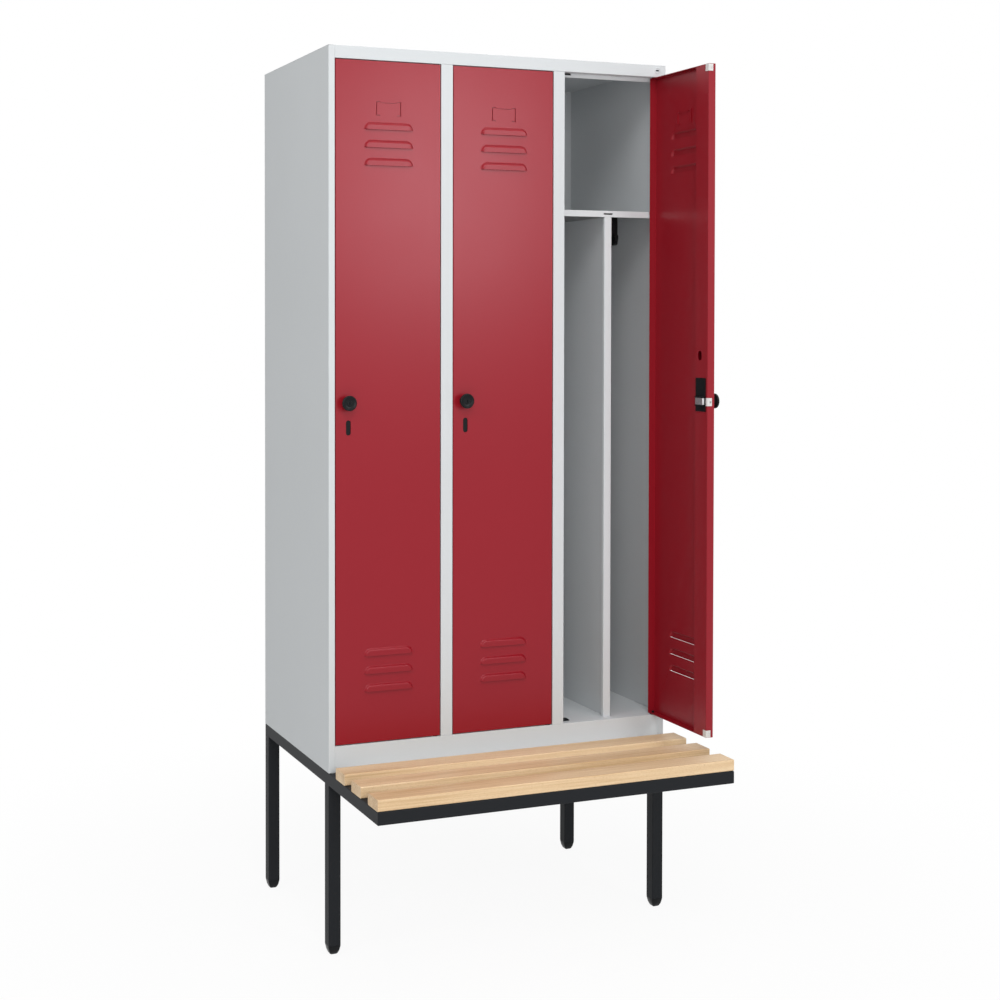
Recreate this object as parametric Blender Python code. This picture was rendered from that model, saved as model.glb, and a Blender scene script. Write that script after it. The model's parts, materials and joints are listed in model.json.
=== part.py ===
"""A steel locker with three compartments, on a tubular base that carries a slatted bench in front.

Lengths are in metres. X runs along the width, Y from the front face to the back, Z up from the floor.
The origin lies on the floor, in the middle of the object's box. The last door stands open.
"""

import math

import bmesh
import bpy
from mathutils import Vector

# Clearances, cuts and roundness
SEAT_GAP = 0.0003
CUT_OVERRUN = 0.004
MERGE_DISTANCE = 0.00001
ROUND_STEPS = 24
BEND_STEPS = 3
SMOOTH_ANGLE = math.radians(30)
FULL_TURN = 2 * math.pi

# Whole cabinet
BODY_WIDTH = 0.900
BODY_DEPTH = 0.500
BODY_HEIGHT = 1.700
SHEET = 0.001
DOOR_COUNT = 3
OPEN_DOOR = 3
OPEN_ANGLE = math.radians(90)

# Front frame of the cabinet
STILE_WIDTH = 0.015
POST_WIDTH = 0.030
HEADER_HEIGHT = 0.030
SILL_HEIGHT = 0.062
SILL_FOOT = 0.020
STOP_DROP = 0.010
BACK_FLANGE = 0.015
REAR_FOLD = 0.014
POST_BEHIND_LEAF = 0.001

# Door leaf
LEAF_DEPTH = 0.019
LEAF_BEND = 0.002
HINGE_GAP = 0.002
FREE_GAP = 0.002
FOOT_GAP = 0.0025
HEAD_GAP = 0.0022
SWING_CLEARANCE = 0.001

# Louvres pressed in the leaf
LOUVRE_WIDTH = 0.124
LOUVRE_HEIGHT = 0.0172
LOUVRE_RISE = 0.0055
LOUVRE_SLOPE = 0.0045
LOUVRE_PITCH = 0.0421
LOUVRES_IN_GROUP = 3
LOUVRE_TO_HEAD = 0.1596
LOUVRE_TO_FOOT = 0.1210
LOUVRE_ARC_STEPS = 5
SLOPE_RUN_SHARES = (0.0, 0.34, 0.70, 1.0)
SLOPE_RISE_SHARES = (0.0, 0.52, 0.90, 1.0)

# Pivots of a door
PIVOT_INSET = 0.0097
PIVOT_DEPTH = 0.009
PIVOT_RADIUS = 0.003
PIVOT_LENGTH = 0.016
PIVOT_TIP = 0.001
BUSH_RADIUS = 0.005
BUSH_LENGTH = 0.008
BUSH_FLANGE_RADIUS = 0.0085
COLLAR_RADIUS = 0.0055
COLLAR_HEIGHT = 0.003

# Knob
KNOB_HEIGHT = 0.8045
KNOB_INSET = 0.028
KNOB_RADIUS = 0.018
KNOB_REACH = 0.022
KNOB_HEAD = 0.006
KNOB_ROUNDING = 0.0018
KNOB_NECK_RADIUS = 0.0115
KNOB_FLARE = 0.004
SPINDLE_RADIUS = 0.004
KEYHOLE_WIDTH = 0.0016
KEYHOLE_LENGTH = 0.009
KEYHOLE_DEPTH = 0.003

# Oblong opening below the knob
OBLONG_WIDTH = 0.012
OBLONG_LENGTH = 0.0355
OBLONG_INSET = 0.0318
OBLONG_DROP = 0.0585

# Lock case and bolt
CASE_INSET = 0.0073
CASE_WIDTH = 0.043
CASE_HEIGHT = 0.080
CASE_DROP = 0.0245
CASE_PROUD = 0.0012
CASE_CORNER = 0.002
BOLT_LENGTH = 0.034
BOLT_HEIGHT = 0.016
BOLT_THICKNESS = 0.004
BOLT_NOSE = 0.003
GUIDE_HEIGHT = 0.003

# Channel that stiffens the free side of the leaf
CHANNEL_WIDTH = 0.054
CHANNEL_FOOT = 0.012
CHANNEL_LIP = 0.014
SLOT_WIDTH = 0.016
SLOT_HEIGHT = 0.023
SLOT_INSET = 0.0338
SLOT_RISE = 0.1090

# Bumpers at the free corners of the leaf
BUMPER_ARM = 0.013
BUMPER_HEIGHT = 0.0165
BUMPER_CORNER = 0.003
BUMPER_EDGE_LEG = 0.0007
BUMPER_INNER_LEG = 0.0012
BUMPER_FROM_END = 0.0010

# Inside of a compartment
SHELF_DROP = 0.3367
SHELF_FLANGE = 0.0155
SHELF_SLOT_LENGTH = 0.026
SHELF_SLOT_HEIGHT = 0.004
PARTITION_NOSE = 0.020
PARTITION_NOSE_DEPTH = 0.012
HOOK_WIDTH = 0.020
HOOK_FROM_PARTITION = 0.061
HOOK_DEPTH = 0.080
HOOK_THICKNESS = 0.006
HOOK_DROP = 0.0665
HOOK_CORNER = 0.006
HOOK_FOOT = 0.003
HOOK_FOOT_LENGTH = 0.036
HOOK_FOOT_OVERHANG = 0.002
HOOK_ARM_WIDTH = 0.009
HOOK_ARM_REACH = 0.016
HOOK_ARM_RISE = 0.001
HOOK_TIP_RISE = 0.006
HOOK_TIP_STEPS = 6
HOOK_ARC_STEPS = 12

# Base and bench
BASE_HEIGHT = 0.430
BENCH_REACH = 0.315
TUBE = 0.030
TUBE_WALL = 0.002
FOOT_HEIGHT = 0.022
FOOT_BOTTOM_WIDTH = 0.0145
FOOT_PROFILE = ((0.0, 0.0), (0.3, 0.1), (0.7, 0.45), (1.0, 1.0))
FOOT_SHOULDER = 0.002
FOOT_SPIGOT = 0.015
FOOT_CORNER = 0.003
FOOT_CORNER_SHARE = 0.33
SLAT_COUNT = 3
SLAT_WIDTH = 0.060
SLAT_THICKNESS = 0.026
SLAT_PITCH = 0.1035
SLAT_ROUNDING = 0.002

# Sizes that follow
BODY_BOTTOM = BASE_HEIGHT + SEAT_GAP
BODY_TOP = BODY_BOTTOM + BODY_HEIGHT
OPENING_WIDTH = (BODY_WIDTH - 2 * STILE_WIDTH - (DOOR_COUNT - 1) * POST_WIDTH) / DOOR_COUNT
OPENING_BOTTOM = BODY_BOTTOM + SILL_HEIGHT
OPENING_TOP = BODY_TOP - HEADER_HEIGHT
LEAF_BOTTOM = OPENING_BOTTOM + FOOT_GAP
LEAF_TOP = OPENING_TOP - HEAD_GAP
LEAF_WIDTH = OPENING_WIDTH - HINGE_GAP - FREE_GAP
HINGE_EDGE = PIVOT_INSET - HINGE_GAP
FREE_EDGE = HINGE_EDGE - LEAF_WIDTH
LEAF_FACE = -PIVOT_DEPTH
LEAF_BACK = LEAF_FACE + LEAF_DEPTH
FRONT_SWEEP = math.hypot(HINGE_EDGE - LEAF_BEND, PIVOT_DEPTH - LEAF_BEND) + LEAF_BEND
BACK_SWEEP = math.hypot(HINGE_EDGE, LEAF_BACK)
RETURN_SETBACK = FRONT_SWEEP - PIVOT_INSET + SWING_CLEARANCE
INSIDE_FRONT = PIVOT_DEPTH + BACK_SWEEP + SWING_CLEARANCE
POST_DEPTH = LEAF_DEPTH + POST_BEHIND_LEAF
BACK_PANEL_REAR = BODY_DEPTH - SHEET - SEAT_GAP
INSIDE_REAR = BACK_PANEL_REAR - SHEET - SEAT_GAP
KNOB_Z = OPENING_BOTTOM + KNOB_HEIGHT
KNOB_X = FREE_EDGE + KNOB_INSET
CASE_BOTTOM = KNOB_Z - CASE_DROP
CASE_TOP = CASE_BOTTOM + CASE_HEIGHT
CASE_LEFT = FREE_EDGE + CASE_INSET
CASE_RIGHT = CASE_LEFT + CASE_WIDTH
CASE_BACK = LEAF_BACK + CASE_PROUD
SHELF_TOP = OPENING_TOP - SHELF_DROP
SHELF_BOTTOM = SHELF_TOP - SHELF_FLANGE
SLAT_FRONT = -BENCH_REACH
LEG_BOTTOM = FOOT_HEIGHT + SEAT_GAP
RAIL_BOTTOM = BASE_HEIGHT - TUBE

# Finishes: colour, metallic, roughness
BODY_GREY = ("light_grey_paint", (0.58, 0.61, 0.62, 1), 0.0, 0.42)
DOOR_RED = ("ruby_red_paint", (0.33, 0.022, 0.03, 1), 0.0, 0.35)
FRAME_BLACK = ("black_grey_paint", (0.022, 0.025, 0.028, 1), 0.0, 0.4)
BEECH = ("beech", (0.61, 0.38, 0.19, 1), 0.0, 0.5)
BLACK_PLASTIC = ("black_plastic", (0.012, 0.012, 0.012, 1), 0.0, 0.45)
WHITE_PLASTIC = ("white_plastic", (0.85, 0.85, 0.83, 1), 0.0, 0.4)
ZINC = ("zinc", (0.62, 0.62, 0.64, 1), 1.0, 0.3)


def clear_scene():
    """Remove every object that the scene starts with."""
    for obj in list(bpy.data.objects):
        bpy.data.objects.remove(obj, do_unlink=True)


def finish(values):
    """Return the material of one finish, made on first use."""
    name, color, metallic, roughness = values
    found = bpy.data.materials.get(name)
    if found:
        return found
    made = bpy.data.materials.new(name)
    made.use_nodes = True
    made.diffuse_color = color
    shader = made.node_tree.nodes["Principled BSDF"]
    shader.inputs["Base Color"].default_value = color
    shader.inputs["Metallic"].default_value = metallic
    shader.inputs["Roughness"].default_value = roughness
    return made


def empty(name, parent=None, location=(0, 0, 0), turn=0.0):
    """Return an empty that carries other objects."""
    made = bpy.data.objects.new(name, None)
    bpy.context.collection.objects.link(made)
    made.parent = parent
    made.location = location
    made.rotation_euler = (0, 0, turn)
    return made


def mesh_from(bm, name):
    """Turn a bmesh into a mesh with smooth round faces and sharp edges."""
    mesh = bpy.data.meshes.new(name)
    bm.to_mesh(mesh)
    bm.free()
    mesh.shade_smooth()
    mesh.set_sharp_from_angle(angle=SMOOTH_ANGLE)
    return mesh


def placed(name, mesh, values, parent, location=(0, 0, 0)):
    """Put a mesh in the scene as a named piece in one finish, under a parent."""
    made = bpy.data.objects.new(name, mesh)
    bpy.context.collection.objects.link(made)
    made.parent = parent
    made.location = location
    if not mesh.materials:
        mesh.materials.append(finish(values))
    return made


def tool(name, bm, parent=None):
    """Return a hidden object that cuts or joins another."""
    made = bpy.data.objects.new(name, mesh_from(bm, name))
    bpy.context.collection.objects.link(made)
    made.parent = parent
    made.hide_render = True
    made.display_type = "WIRE"
    return made


def boolean(obj, other, operation="DIFFERENCE"):
    """Cut another object from a piece, or join it to the piece."""
    modifier = obj.modifiers.new(other.name, "BOOLEAN")
    modifier.operation = operation
    modifier.object = other


def settled(obj):
    """Return the mesh that an object has after its modifiers, and remove the object and its tools."""
    bpy.context.view_layer.update()
    graph = bpy.context.evaluated_depsgraph_get()
    mesh = bpy.data.meshes.new_from_object(obj.evaluated_get(graph))
    mesh.name = obj.name
    tools = [modifier.object for modifier in obj.modifiers if modifier.type == "BOOLEAN"]
    for each in tools + [obj]:
        bpy.data.objects.remove(each, do_unlink=True)
    mesh.shade_smooth()
    mesh.set_sharp_from_angle(angle=SMOOTH_ANGLE)
    return mesh


def along_x(u, v, w):
    """Place an outline in the YZ plane."""
    return Vector((w, u, v))


def along_y(u, v, w):
    """Place an outline in the XZ plane."""
    return Vector((u, w, v))


def along_z(u, v, w):
    """Place an outline in the XY plane."""
    return Vector((u, v, w))


def arc(centre, radius, start, end, steps):
    """Return the points of an arc, its ends included. Angles are in degrees."""
    first, last = math.radians(start), math.radians(end)
    angles = [first + (last - first) * step / steps for step in range(steps + 1)]
    return [(centre[0] + radius * math.cos(a), centre[1] + radius * math.sin(a)) for a in angles]


def circle(centre, radius):
    """Return the points of a circle."""
    return arc(centre, radius, 0, 360, ROUND_STEPS)[:-1]


def rectangle(low, high):
    """Return the corners of a rectangle between two points."""
    return [(low[0], low[1]), (high[0], low[1]), (high[0], high[1]), (low[0], high[1])]


def rounded(low, high, radius, steps=BEND_STEPS):
    """Return the outline of a rectangle with round corners."""
    centres = rectangle((low[0] + radius, low[1] + radius), (high[0] - radius, high[1] - radius))
    points = []
    for corner, centre in enumerate(centres):
        start = 180 + 90 * corner
        points += arc(centre, radius, start, start + 90, steps)
    return points


def stadium(centre, width, height):
    """Return an upright oblong with half-round ends."""
    radius = width / 2
    rise = height / 2 - radius
    upper = arc((centre[0], centre[1] + rise), radius, 0, 180, ROUND_STEPS // 2)
    lower = arc((centre[0], centre[1] - rise), radius, 180, 360, ROUND_STEPS // 2)
    return upper + lower


def folded(path, thickness=SHEET):
    """Return the outline of a folded sheet whose face follows a path, with the sheet on its right."""
    points = [Vector(point) for point in path]
    runs = [(b - a).normalized() for a, b in zip(points, points[1:])]
    sides = [Vector((run.y, -run.x)) for run in runs]
    inner = [points[0] + sides[0] * thickness]
    for point, before, after in zip(points[1:-1], sides, sides[1:]):
        mitre = before + after
        inner.append(point + mitre * (thickness * 2 / mitre.length_squared))
    inner.append(points[-1] + sides[-1] * thickness)
    return [tuple(point) for point in points + inner[::-1]]


def loop(bm, points, place, level):
    """Draw a closed outline in a bmesh and return its vertices and edges."""
    verts = [bm.verts.new(place(u, v, level)) for u, v in points]
    edges = [bm.edges.new((a, b)) for a, b in zip(verts, verts[1:] + verts[:1])]
    return verts, edges


def prism(place, outline, low, high, holes=()):
    """Fill an outline with its holes and extrude it from one level to another."""
    bm = bmesh.new()
    edges = []
    for points in (outline, *holes):
        edges += loop(bm, points, place, low)[1]
    bmesh.ops.triangle_fill(bm, edges=edges, use_beauty=True)
    region = bmesh.ops.extrude_face_region(bm, geom=bm.faces[:])["geom"]
    moved = [item for item in region if isinstance(item, bmesh.types.BMVert)]
    bmesh.ops.translate(bm, verts=moved, vec=place(0, 0, high) - place(0, 0, low))
    bmesh.ops.recalc_face_normals(bm, faces=bm.faces[:])
    return bm


def block(low, high):
    """Return a plain block between two corners."""
    return prism(along_z, rectangle(low[:2], high[:2]), low[2], high[2])


def turned(profile, place, closed=False):
    """Spin a profile of radius and height round an axis."""
    bm = bmesh.new()
    verts = [bm.verts.new(place(radius, 0, level)) for radius, level in profile]
    ends = verts[1:] + verts[:1] if closed else verts[1:]
    edges = [bm.edges.new((a, b)) for a, b in zip(verts, ends)]
    bmesh.ops.spin(
        bm,
        geom=verts + edges,
        cent=(0, 0, 0),
        axis=place(0, 0, 1),
        angle=FULL_TURN,
        steps=ROUND_STEPS,
        use_duplicate=False,
    )
    bmesh.ops.remove_doubles(bm, verts=bm.verts[:], dist=MERGE_DISTANCE)
    bmesh.ops.recalc_face_normals(bm, faces=bm.faces[:])
    return bm


def lofted(rings):
    """Skin a stack of rings that have as many points each, and close both ends."""
    bm = bmesh.new()
    rows = [[bm.verts.new(point) for point in ring] for ring in rings]
    for lower, upper in zip(rows, rows[1:]):
        for k, vert in enumerate(lower):
            following = (k + 1) % len(lower)
            bm.faces.new((vert, lower[following], upper[following], upper[k]))
    bm.faces.new(rows[0])
    bm.faces.new(rows[-1])
    bmesh.ops.recalc_face_normals(bm, faces=bm.faces[:])
    return bm


def opening_left(index):
    """Return the left edge of an opening, counted from 0."""
    return -BODY_WIDTH / 2 + STILE_WIDTH + index * (OPENING_WIDTH + POST_WIDTH)


def opening_right(index):
    """Return the right edge of an opening, where its door hangs."""
    return opening_left(index) + OPENING_WIDTH


def opening_middle(index):
    """Return the middle of an opening."""
    return opening_left(index) + OPENING_WIDTH / 2


def bay_left(index):
    """Return the inner face of the wall on the left of a compartment."""
    if index == 0:
        return -BODY_WIDTH / 2 + SHEET
    return opening_left(index) - POST_WIDTH / 2 + SHEET / 2


def bay_right(index):
    """Return the inner face of the wall on the right of a compartment."""
    if index == DOOR_COUNT - 1:
        return BODY_WIDTH / 2 - SHEET
    return opening_right(index) + POST_WIDTH / 2 - SHEET / 2


def pivot_x(index):
    """Return the place of a door's hinge axis along the width."""
    return opening_right(index) - PIVOT_INSET


def side_panel(name, side, parent):
    """Side wall, folded into a box post in front and a flange behind."""
    post = STILE_WIDTH - RETURN_SETBACK
    outline = [
        (STILE_WIDTH, 0),
        (0, 0),
        (0, BODY_DEPTH),
        (BACK_FLANGE, BODY_DEPTH),
        (BACK_FLANGE, BODY_DEPTH - SHEET),
        (SHEET, BODY_DEPTH - SHEET),
        (SHEET, POST_DEPTH),
        (post, POST_DEPTH),
        (post, SHEET),
        (STILE_WIDTH, SHEET),
    ]
    hollow = rectangle((SHEET, SHEET), (post - SHEET, POST_DEPTH - SHEET))
    outer = side * BODY_WIDTH / 2

    def place(inward, depth, level):
        return Vector((outer - side * inward, depth, level))

    bm = prism(place, outline, BODY_BOTTOM, BODY_TOP - SHEET - SEAT_GAP, [hollow])
    placed(name, mesh_from(bm, name), BODY_GREY, parent)


def divider(name, index, parent):
    """Wall between two compartments, with a box post at its front edge."""
    middle = opening_left(index) - POST_WIDTH / 2
    face = POST_WIDTH / 2
    box = face - RETURN_SETBACK
    web = SHEET / 2
    outline = [
        (middle - face, 0),
        (middle + face, 0),
        (middle + face, SHEET),
        (middle + box, SHEET),
        (middle + box, POST_DEPTH),
        (middle + web, POST_DEPTH),
        (middle + web, INSIDE_REAR),
        (middle - web, INSIDE_REAR),
        (middle - web, POST_DEPTH),
        (middle - box, POST_DEPTH),
        (middle - box, SHEET),
        (middle - face, SHEET),
    ]
    hollow = rectangle(
        (middle - box + SHEET, SHEET), (middle + box - SHEET, POST_DEPTH - SHEET)
    )
    top = BODY_TOP - SHEET - SEAT_GAP
    wall = prism(along_z, outline, OPENING_BOTTOM + SEAT_GAP, top, [hollow])
    made = placed(name, mesh_from(wall, name), BODY_GREY, parent)
    header_room = block(
        (middle - face - CUT_OVERRUN, -CUT_OVERRUN, OPENING_TOP - SEAT_GAP),
        (middle + face + CUT_OVERRUN, INSIDE_FRONT + SHEET + SEAT_GAP, BODY_TOP + CUT_OVERRUN),
    )
    stop_room = block(
        (middle - face, POST_DEPTH + SEAT_GAP, OPENING_TOP - STOP_DROP - SEAT_GAP),
        (middle + face, INSIDE_FRONT + SHEET + SEAT_GAP, OPENING_TOP),
    )
    boolean(made, tool(name + "_header_room", header_room, parent))
    boolean(made, tool(name + "_stop_room", stop_room, parent))


def roof(parent):
    """Top plate, folded down in front into the header and the strip that the doors close on."""
    section = folded(
        [
            (INSIDE_FRONT, OPENING_TOP - STOP_DROP),
            (INSIDE_FRONT, OPENING_TOP),
            (0, OPENING_TOP),
            (0, BODY_TOP),
            (BODY_DEPTH, BODY_TOP),
            (BODY_DEPTH, BODY_TOP - REAR_FOLD),
        ]
    )
    half = BODY_WIDTH / 2
    name = "roof"
    made = placed(name, mesh_from(prism(along_x, section, -half, half), name), BODY_GREY, parent)
    for side in (-1, 1):
        inner, outer = side * (half - STILE_WIDTH - SEAT_GAP), side * (half + CUT_OVERRUN)
        room = block(
            (min(inner, outer), -CUT_OVERRUN, OPENING_TOP - STOP_DROP - CUT_OVERRUN),
            (max(inner, outer), BODY_DEPTH + CUT_OVERRUN, BODY_TOP - SHEET),
        )
        boolean(made, tool("roof_end_%d" % side, room, parent))
    bore_at_pivots(made, OPENING_TOP, parent)


def floor(parent):
    """Bottom plate of the compartments, folded down into the sill in front."""
    section = folded(
        [
            (SILL_FOOT, BODY_BOTTOM),
            (0, BODY_BOTTOM),
            (0, OPENING_BOTTOM),
            (INSIDE_REAR, OPENING_BOTTOM),
            (INSIDE_REAR, OPENING_BOTTOM - REAR_FOLD),
        ]
    )
    half = BODY_WIDTH / 2 - SHEET - SEAT_GAP
    name = "floor"
    made = placed(name, mesh_from(prism(along_x, section, -half, half), name), BODY_GREY, parent)
    for side in (-1, 1):
        inner = side * (BODY_WIDTH / 2 - STILE_WIDTH - SEAT_GAP)
        outer = side * (half + CUT_OVERRUN)
        room = block(
            (min(inner, outer), -CUT_OVERRUN, BODY_BOTTOM - CUT_OVERRUN),
            (max(inner, outer), POST_DEPTH + SEAT_GAP, OPENING_BOTTOM + CUT_OVERRUN),
        )
        boolean(made, tool("floor_end_%d" % side, room, parent))
    bore_at_pivots(made, OPENING_BOTTOM, parent)


def bore_at_pivots(obj, level, parent):
    """Bore the plate at one level for the bush of each door."""
    for index in range(DOOR_COUNT):
        bore = prism(
            along_z,
            circle((pivot_x(index), PIVOT_DEPTH), BUSH_RADIUS + SEAT_GAP),
            level - SHEET - CUT_OVERRUN,
            level + SHEET + CUT_OVERRUN,
        )
        boolean(obj, tool("%s_bore_%d" % (obj.name, index + 1), bore, parent))


def back_panel(parent):
    """Back wall, one sheet that lies inside the flanges of the side walls."""
    half = BODY_WIDTH / 2 - SHEET - SEAT_GAP
    sheet = block(
        (-half, BACK_PANEL_REAR - SHEET, BODY_BOTTOM),
        (half, BACK_PANEL_REAR, BODY_TOP - SHEET - SEAT_GAP),
    )
    placed("back_panel", mesh_from(sheet, "back_panel"), BODY_GREY, parent)


def pan(outer_profile, low, high, face_index, face_holes, low_holes=(), high_holes=()):
    """Draw the outer skin of a pan: a face with bent long edges and flanges on all four sides.

    The profile runs in X and Y from one flange to the other, and face_index is the run that is the
    face. The ends of the pan close at the levels low and high. Each hole of the face or of an end is
    a closed outline. The skin is returned with the face holes' vertices, for pressings that grow
    from their edges.
    """
    bm = bmesh.new()
    lower = [bm.verts.new((x, y, low)) for x, y in outer_profile]
    upper = [bm.verts.new((x, y, high)) for x, y in outer_profile]
    level = outer_profile[face_index][1]
    for k in range(len(outer_profile) - 1):
        if k != face_index:
            bm.faces.new((lower[k], lower[k + 1], upper[k + 1], upper[k]))

    def edge(a, b):
        return bm.edges.get((a, b)) or bm.edges.new((a, b))

    face_edges = [
        edge(lower[face_index], lower[face_index + 1]),
        edge(lower[face_index + 1], upper[face_index + 1]),
        edge(upper[face_index + 1], upper[face_index]),
        edge(upper[face_index], lower[face_index]),
    ]
    rims = []
    for points in face_holes:
        verts, edges = loop(bm, points, along_y, level)
        rims.append(verts)
        face_edges += edges
    bmesh.ops.triangle_fill(bm, edges=face_edges, use_beauty=True)
    for row, height, holes in ((lower, low, low_holes), (upper, high, high_holes)):
        end_edges = [edge(a, b) for a, b in zip(row, row[1:] + row[:1])]
        for points in holes:
            end_edges += loop(bm, points, along_z, height)[1]
        bmesh.ops.triangle_fill(bm, edges=end_edges, use_beauty=True)
    return bm, rims


def walled(name, bm):
    """Give a pan's skin the thickness of the sheet, inwards from its face."""
    bmesh.ops.recalc_face_normals(bm, faces=bm.faces[:])
    bm.faces.ensure_lookup_table()
    front = max((f for f in bm.faces if abs(f.normal.y) > 1 / 2), key=lambda f: f.calc_area())
    if front.normal.y > 0:
        bmesh.ops.reverse_faces(bm, faces=bm.faces[:])
    made = bpy.data.objects.new(name, mesh_from(bm, name))
    bpy.context.collection.objects.link(made)
    wall = made.modifiers.new("sheet", "SOLIDIFY")
    wall.thickness = SHEET
    wall.offset = -1
    wall.use_even_offset = True
    return made


def louvre_outline(middle, bottom, inset):
    """Outline of a louvre: straight below, round at both upper corners, drawn in by an inset."""
    half = LOUVRE_WIDTH / 2 - LOUVRE_HEIGHT
    radius = LOUVRE_HEIGHT - inset
    right = arc((middle + half, bottom), radius, 0, 90, LOUVRE_ARC_STEPS)
    left = arc((middle - half, bottom), radius, 90, 180, LOUVRE_ARC_STEPS)
    return right + left


def louvre_places():
    """Return the lower edge of each louvre of a leaf."""
    places = []
    for k in range(LOUVRES_IN_GROUP):
        places.append(LEAF_TOP - LOUVRE_TO_HEAD - k * LOUVRE_PITCH)
        places.append(LEAF_BOTTOM + LOUVRE_TO_FOOT + k * LOUVRE_PITCH)
    return places


def press_hood(bm, rim, bottom):
    """Press a louvre's hood out of the face: it rises from the rim and stays open along its foot."""
    middle = (HINGE_EDGE + FREE_EDGE) / 2
    row = rim
    for run, rise in zip(SLOPE_RUN_SHARES[1:], SLOPE_RISE_SHARES[1:]):
        level = LEAF_FACE - rise * LOUVRE_RISE
        points = louvre_outline(middle, bottom, run * LOUVRE_SLOPE)
        crest = [bm.verts.new(along_y(u, v, level)) for u, v in points]
        for k in range(len(row) - 1):
            bm.faces.new((row[k], row[k + 1], crest[k + 1], crest[k]))
        row = crest
    bm.faces.new(row)


def leaf_mesh():
    """Door leaf: one sheet, folded on four sides, with pressed louvres and the holes of its lock."""
    profile = (
        [(FREE_EDGE, LEAF_BACK)]
        + arc((FREE_EDGE + LEAF_BEND, LEAF_FACE + LEAF_BEND), LEAF_BEND, 180, 270, BEND_STEPS)
        + arc((HINGE_EDGE - LEAF_BEND, LEAF_FACE + LEAF_BEND), LEAF_BEND, 270, 360, BEND_STEPS)
        + [(HINGE_EDGE, LEAF_BACK)]
    )
    middle = (HINGE_EDGE + FREE_EDGE) / 2
    places = louvre_places()
    holes = [louvre_outline(middle, bottom, 0) for bottom in places]
    holes.append(circle((KNOB_X, KNOB_Z), SPINDLE_RADIUS + SEAT_GAP))
    oblong = (FREE_EDGE + OBLONG_INSET, KNOB_Z - OBLONG_DROP)
    holes.append(stadium(oblong, OBLONG_WIDTH, OBLONG_LENGTH))
    pivot = circle((0, 0), PIVOT_RADIUS + SEAT_GAP)
    skin, rims = pan(
        profile, LEAF_BOTTOM, LEAF_TOP, BEND_STEPS + 1, holes, [pivot], [pivot]
    )
    for rim, bottom in zip(rims, places):
        press_hood(skin, rim, bottom)
    return settled(walled("leaf", skin))


def channel_mesh():
    """Channel along the free side of the leaf, cut out for the lock."""
    left = FREE_EDGE + SHEET + SEAT_GAP
    right = FREE_EDGE + CHANNEL_WIDTH
    foot = LEAF_FACE + SHEET + SEAT_GAP + SHEET
    section = folded(
        [
            (left, LEAF_BACK - CHANNEL_LIP),
            (left, LEAF_BACK),
            (right, LEAF_BACK),
            (right, foot),
            (right + CHANNEL_FOOT, foot),
        ]
    )
    inset = SHEET + SEAT_GAP
    body = prism(along_z, section, LEAF_BOTTOM + inset, LEAF_TOP - inset)
    made = placed("channel", mesh_from(body, "channel"), DOOR_RED, None)
    case_room = block(
        (CASE_LEFT - SEAT_GAP, LEAF_BACK - CUT_OVERRUN, CASE_BOTTOM - SEAT_GAP),
        (CASE_RIGHT + SEAT_GAP, LEAF_BACK + CUT_OVERRUN, CASE_TOP + SEAT_GAP),
    )
    boolean(made, tool("channel_case_room", case_room))
    slot = stadium((FREE_EDGE + SLOT_INSET, KNOB_Z + SLOT_RISE), SLOT_WIDTH, SLOT_HEIGHT)
    slot_room = prism(along_y, slot, LEAF_BACK - CUT_OVERRUN, LEAF_BACK + CUT_OVERRUN)
    boolean(made, tool("channel_slot_room", slot_room))
    return settled(made)


def case_mesh():
    """Lock case, bored for the spindle, with a guide above and below the bolt."""
    front = LEAF_FACE + SHEET + SEAT_GAP
    bore = circle((KNOB_X, KNOB_Z), SPINDLE_RADIUS + SEAT_GAP)
    outline = rounded((CASE_LEFT, CASE_BOTTOM), (CASE_RIGHT, CASE_TOP), CASE_CORNER)
    body = prism(along_y, outline, front, CASE_BACK, [bore])
    made = placed("lock_case", mesh_from(body, "lock_case"), BLACK_PLASTIC, None)
    reach = BOLT_HEIGHT / 2 + SEAT_GAP
    for side in (-1, 1):
        near, far = KNOB_Z + side * reach, KNOB_Z + side * (reach + GUIDE_HEIGHT)
        guide = block(
            (CASE_LEFT + CASE_CORNER, CASE_BACK - CASE_PROUD, min(near, far)),
            (CASE_RIGHT - CASE_CORNER, CASE_BACK + SEAT_GAP + BOLT_THICKNESS, max(near, far)),
        )
        boolean(made, tool("guide_%d" % side, guide), "UNION")
    return settled(made)


def bolt_mesh():
    """Bolt with a slanted nose, drawn about the knob's axis."""
    half = BOLT_LENGTH / 2
    front = CASE_BACK - LEAF_FACE + SEAT_GAP
    back = front + BOLT_THICKNESS
    left = max(-half, CASE_LEFT + SEAT_GAP - KNOB_X)
    right = left + BOLT_LENGTH
    outline = [
        (left, front),
        (right, front),
        (right, back),
        (left + BOLT_NOSE, back),
        (left, back - BOLT_NOSE),
    ]
    return mesh_from(prism(along_z, outline, -BOLT_HEIGHT / 2, BOLT_HEIGHT / 2), "bolt")


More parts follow.
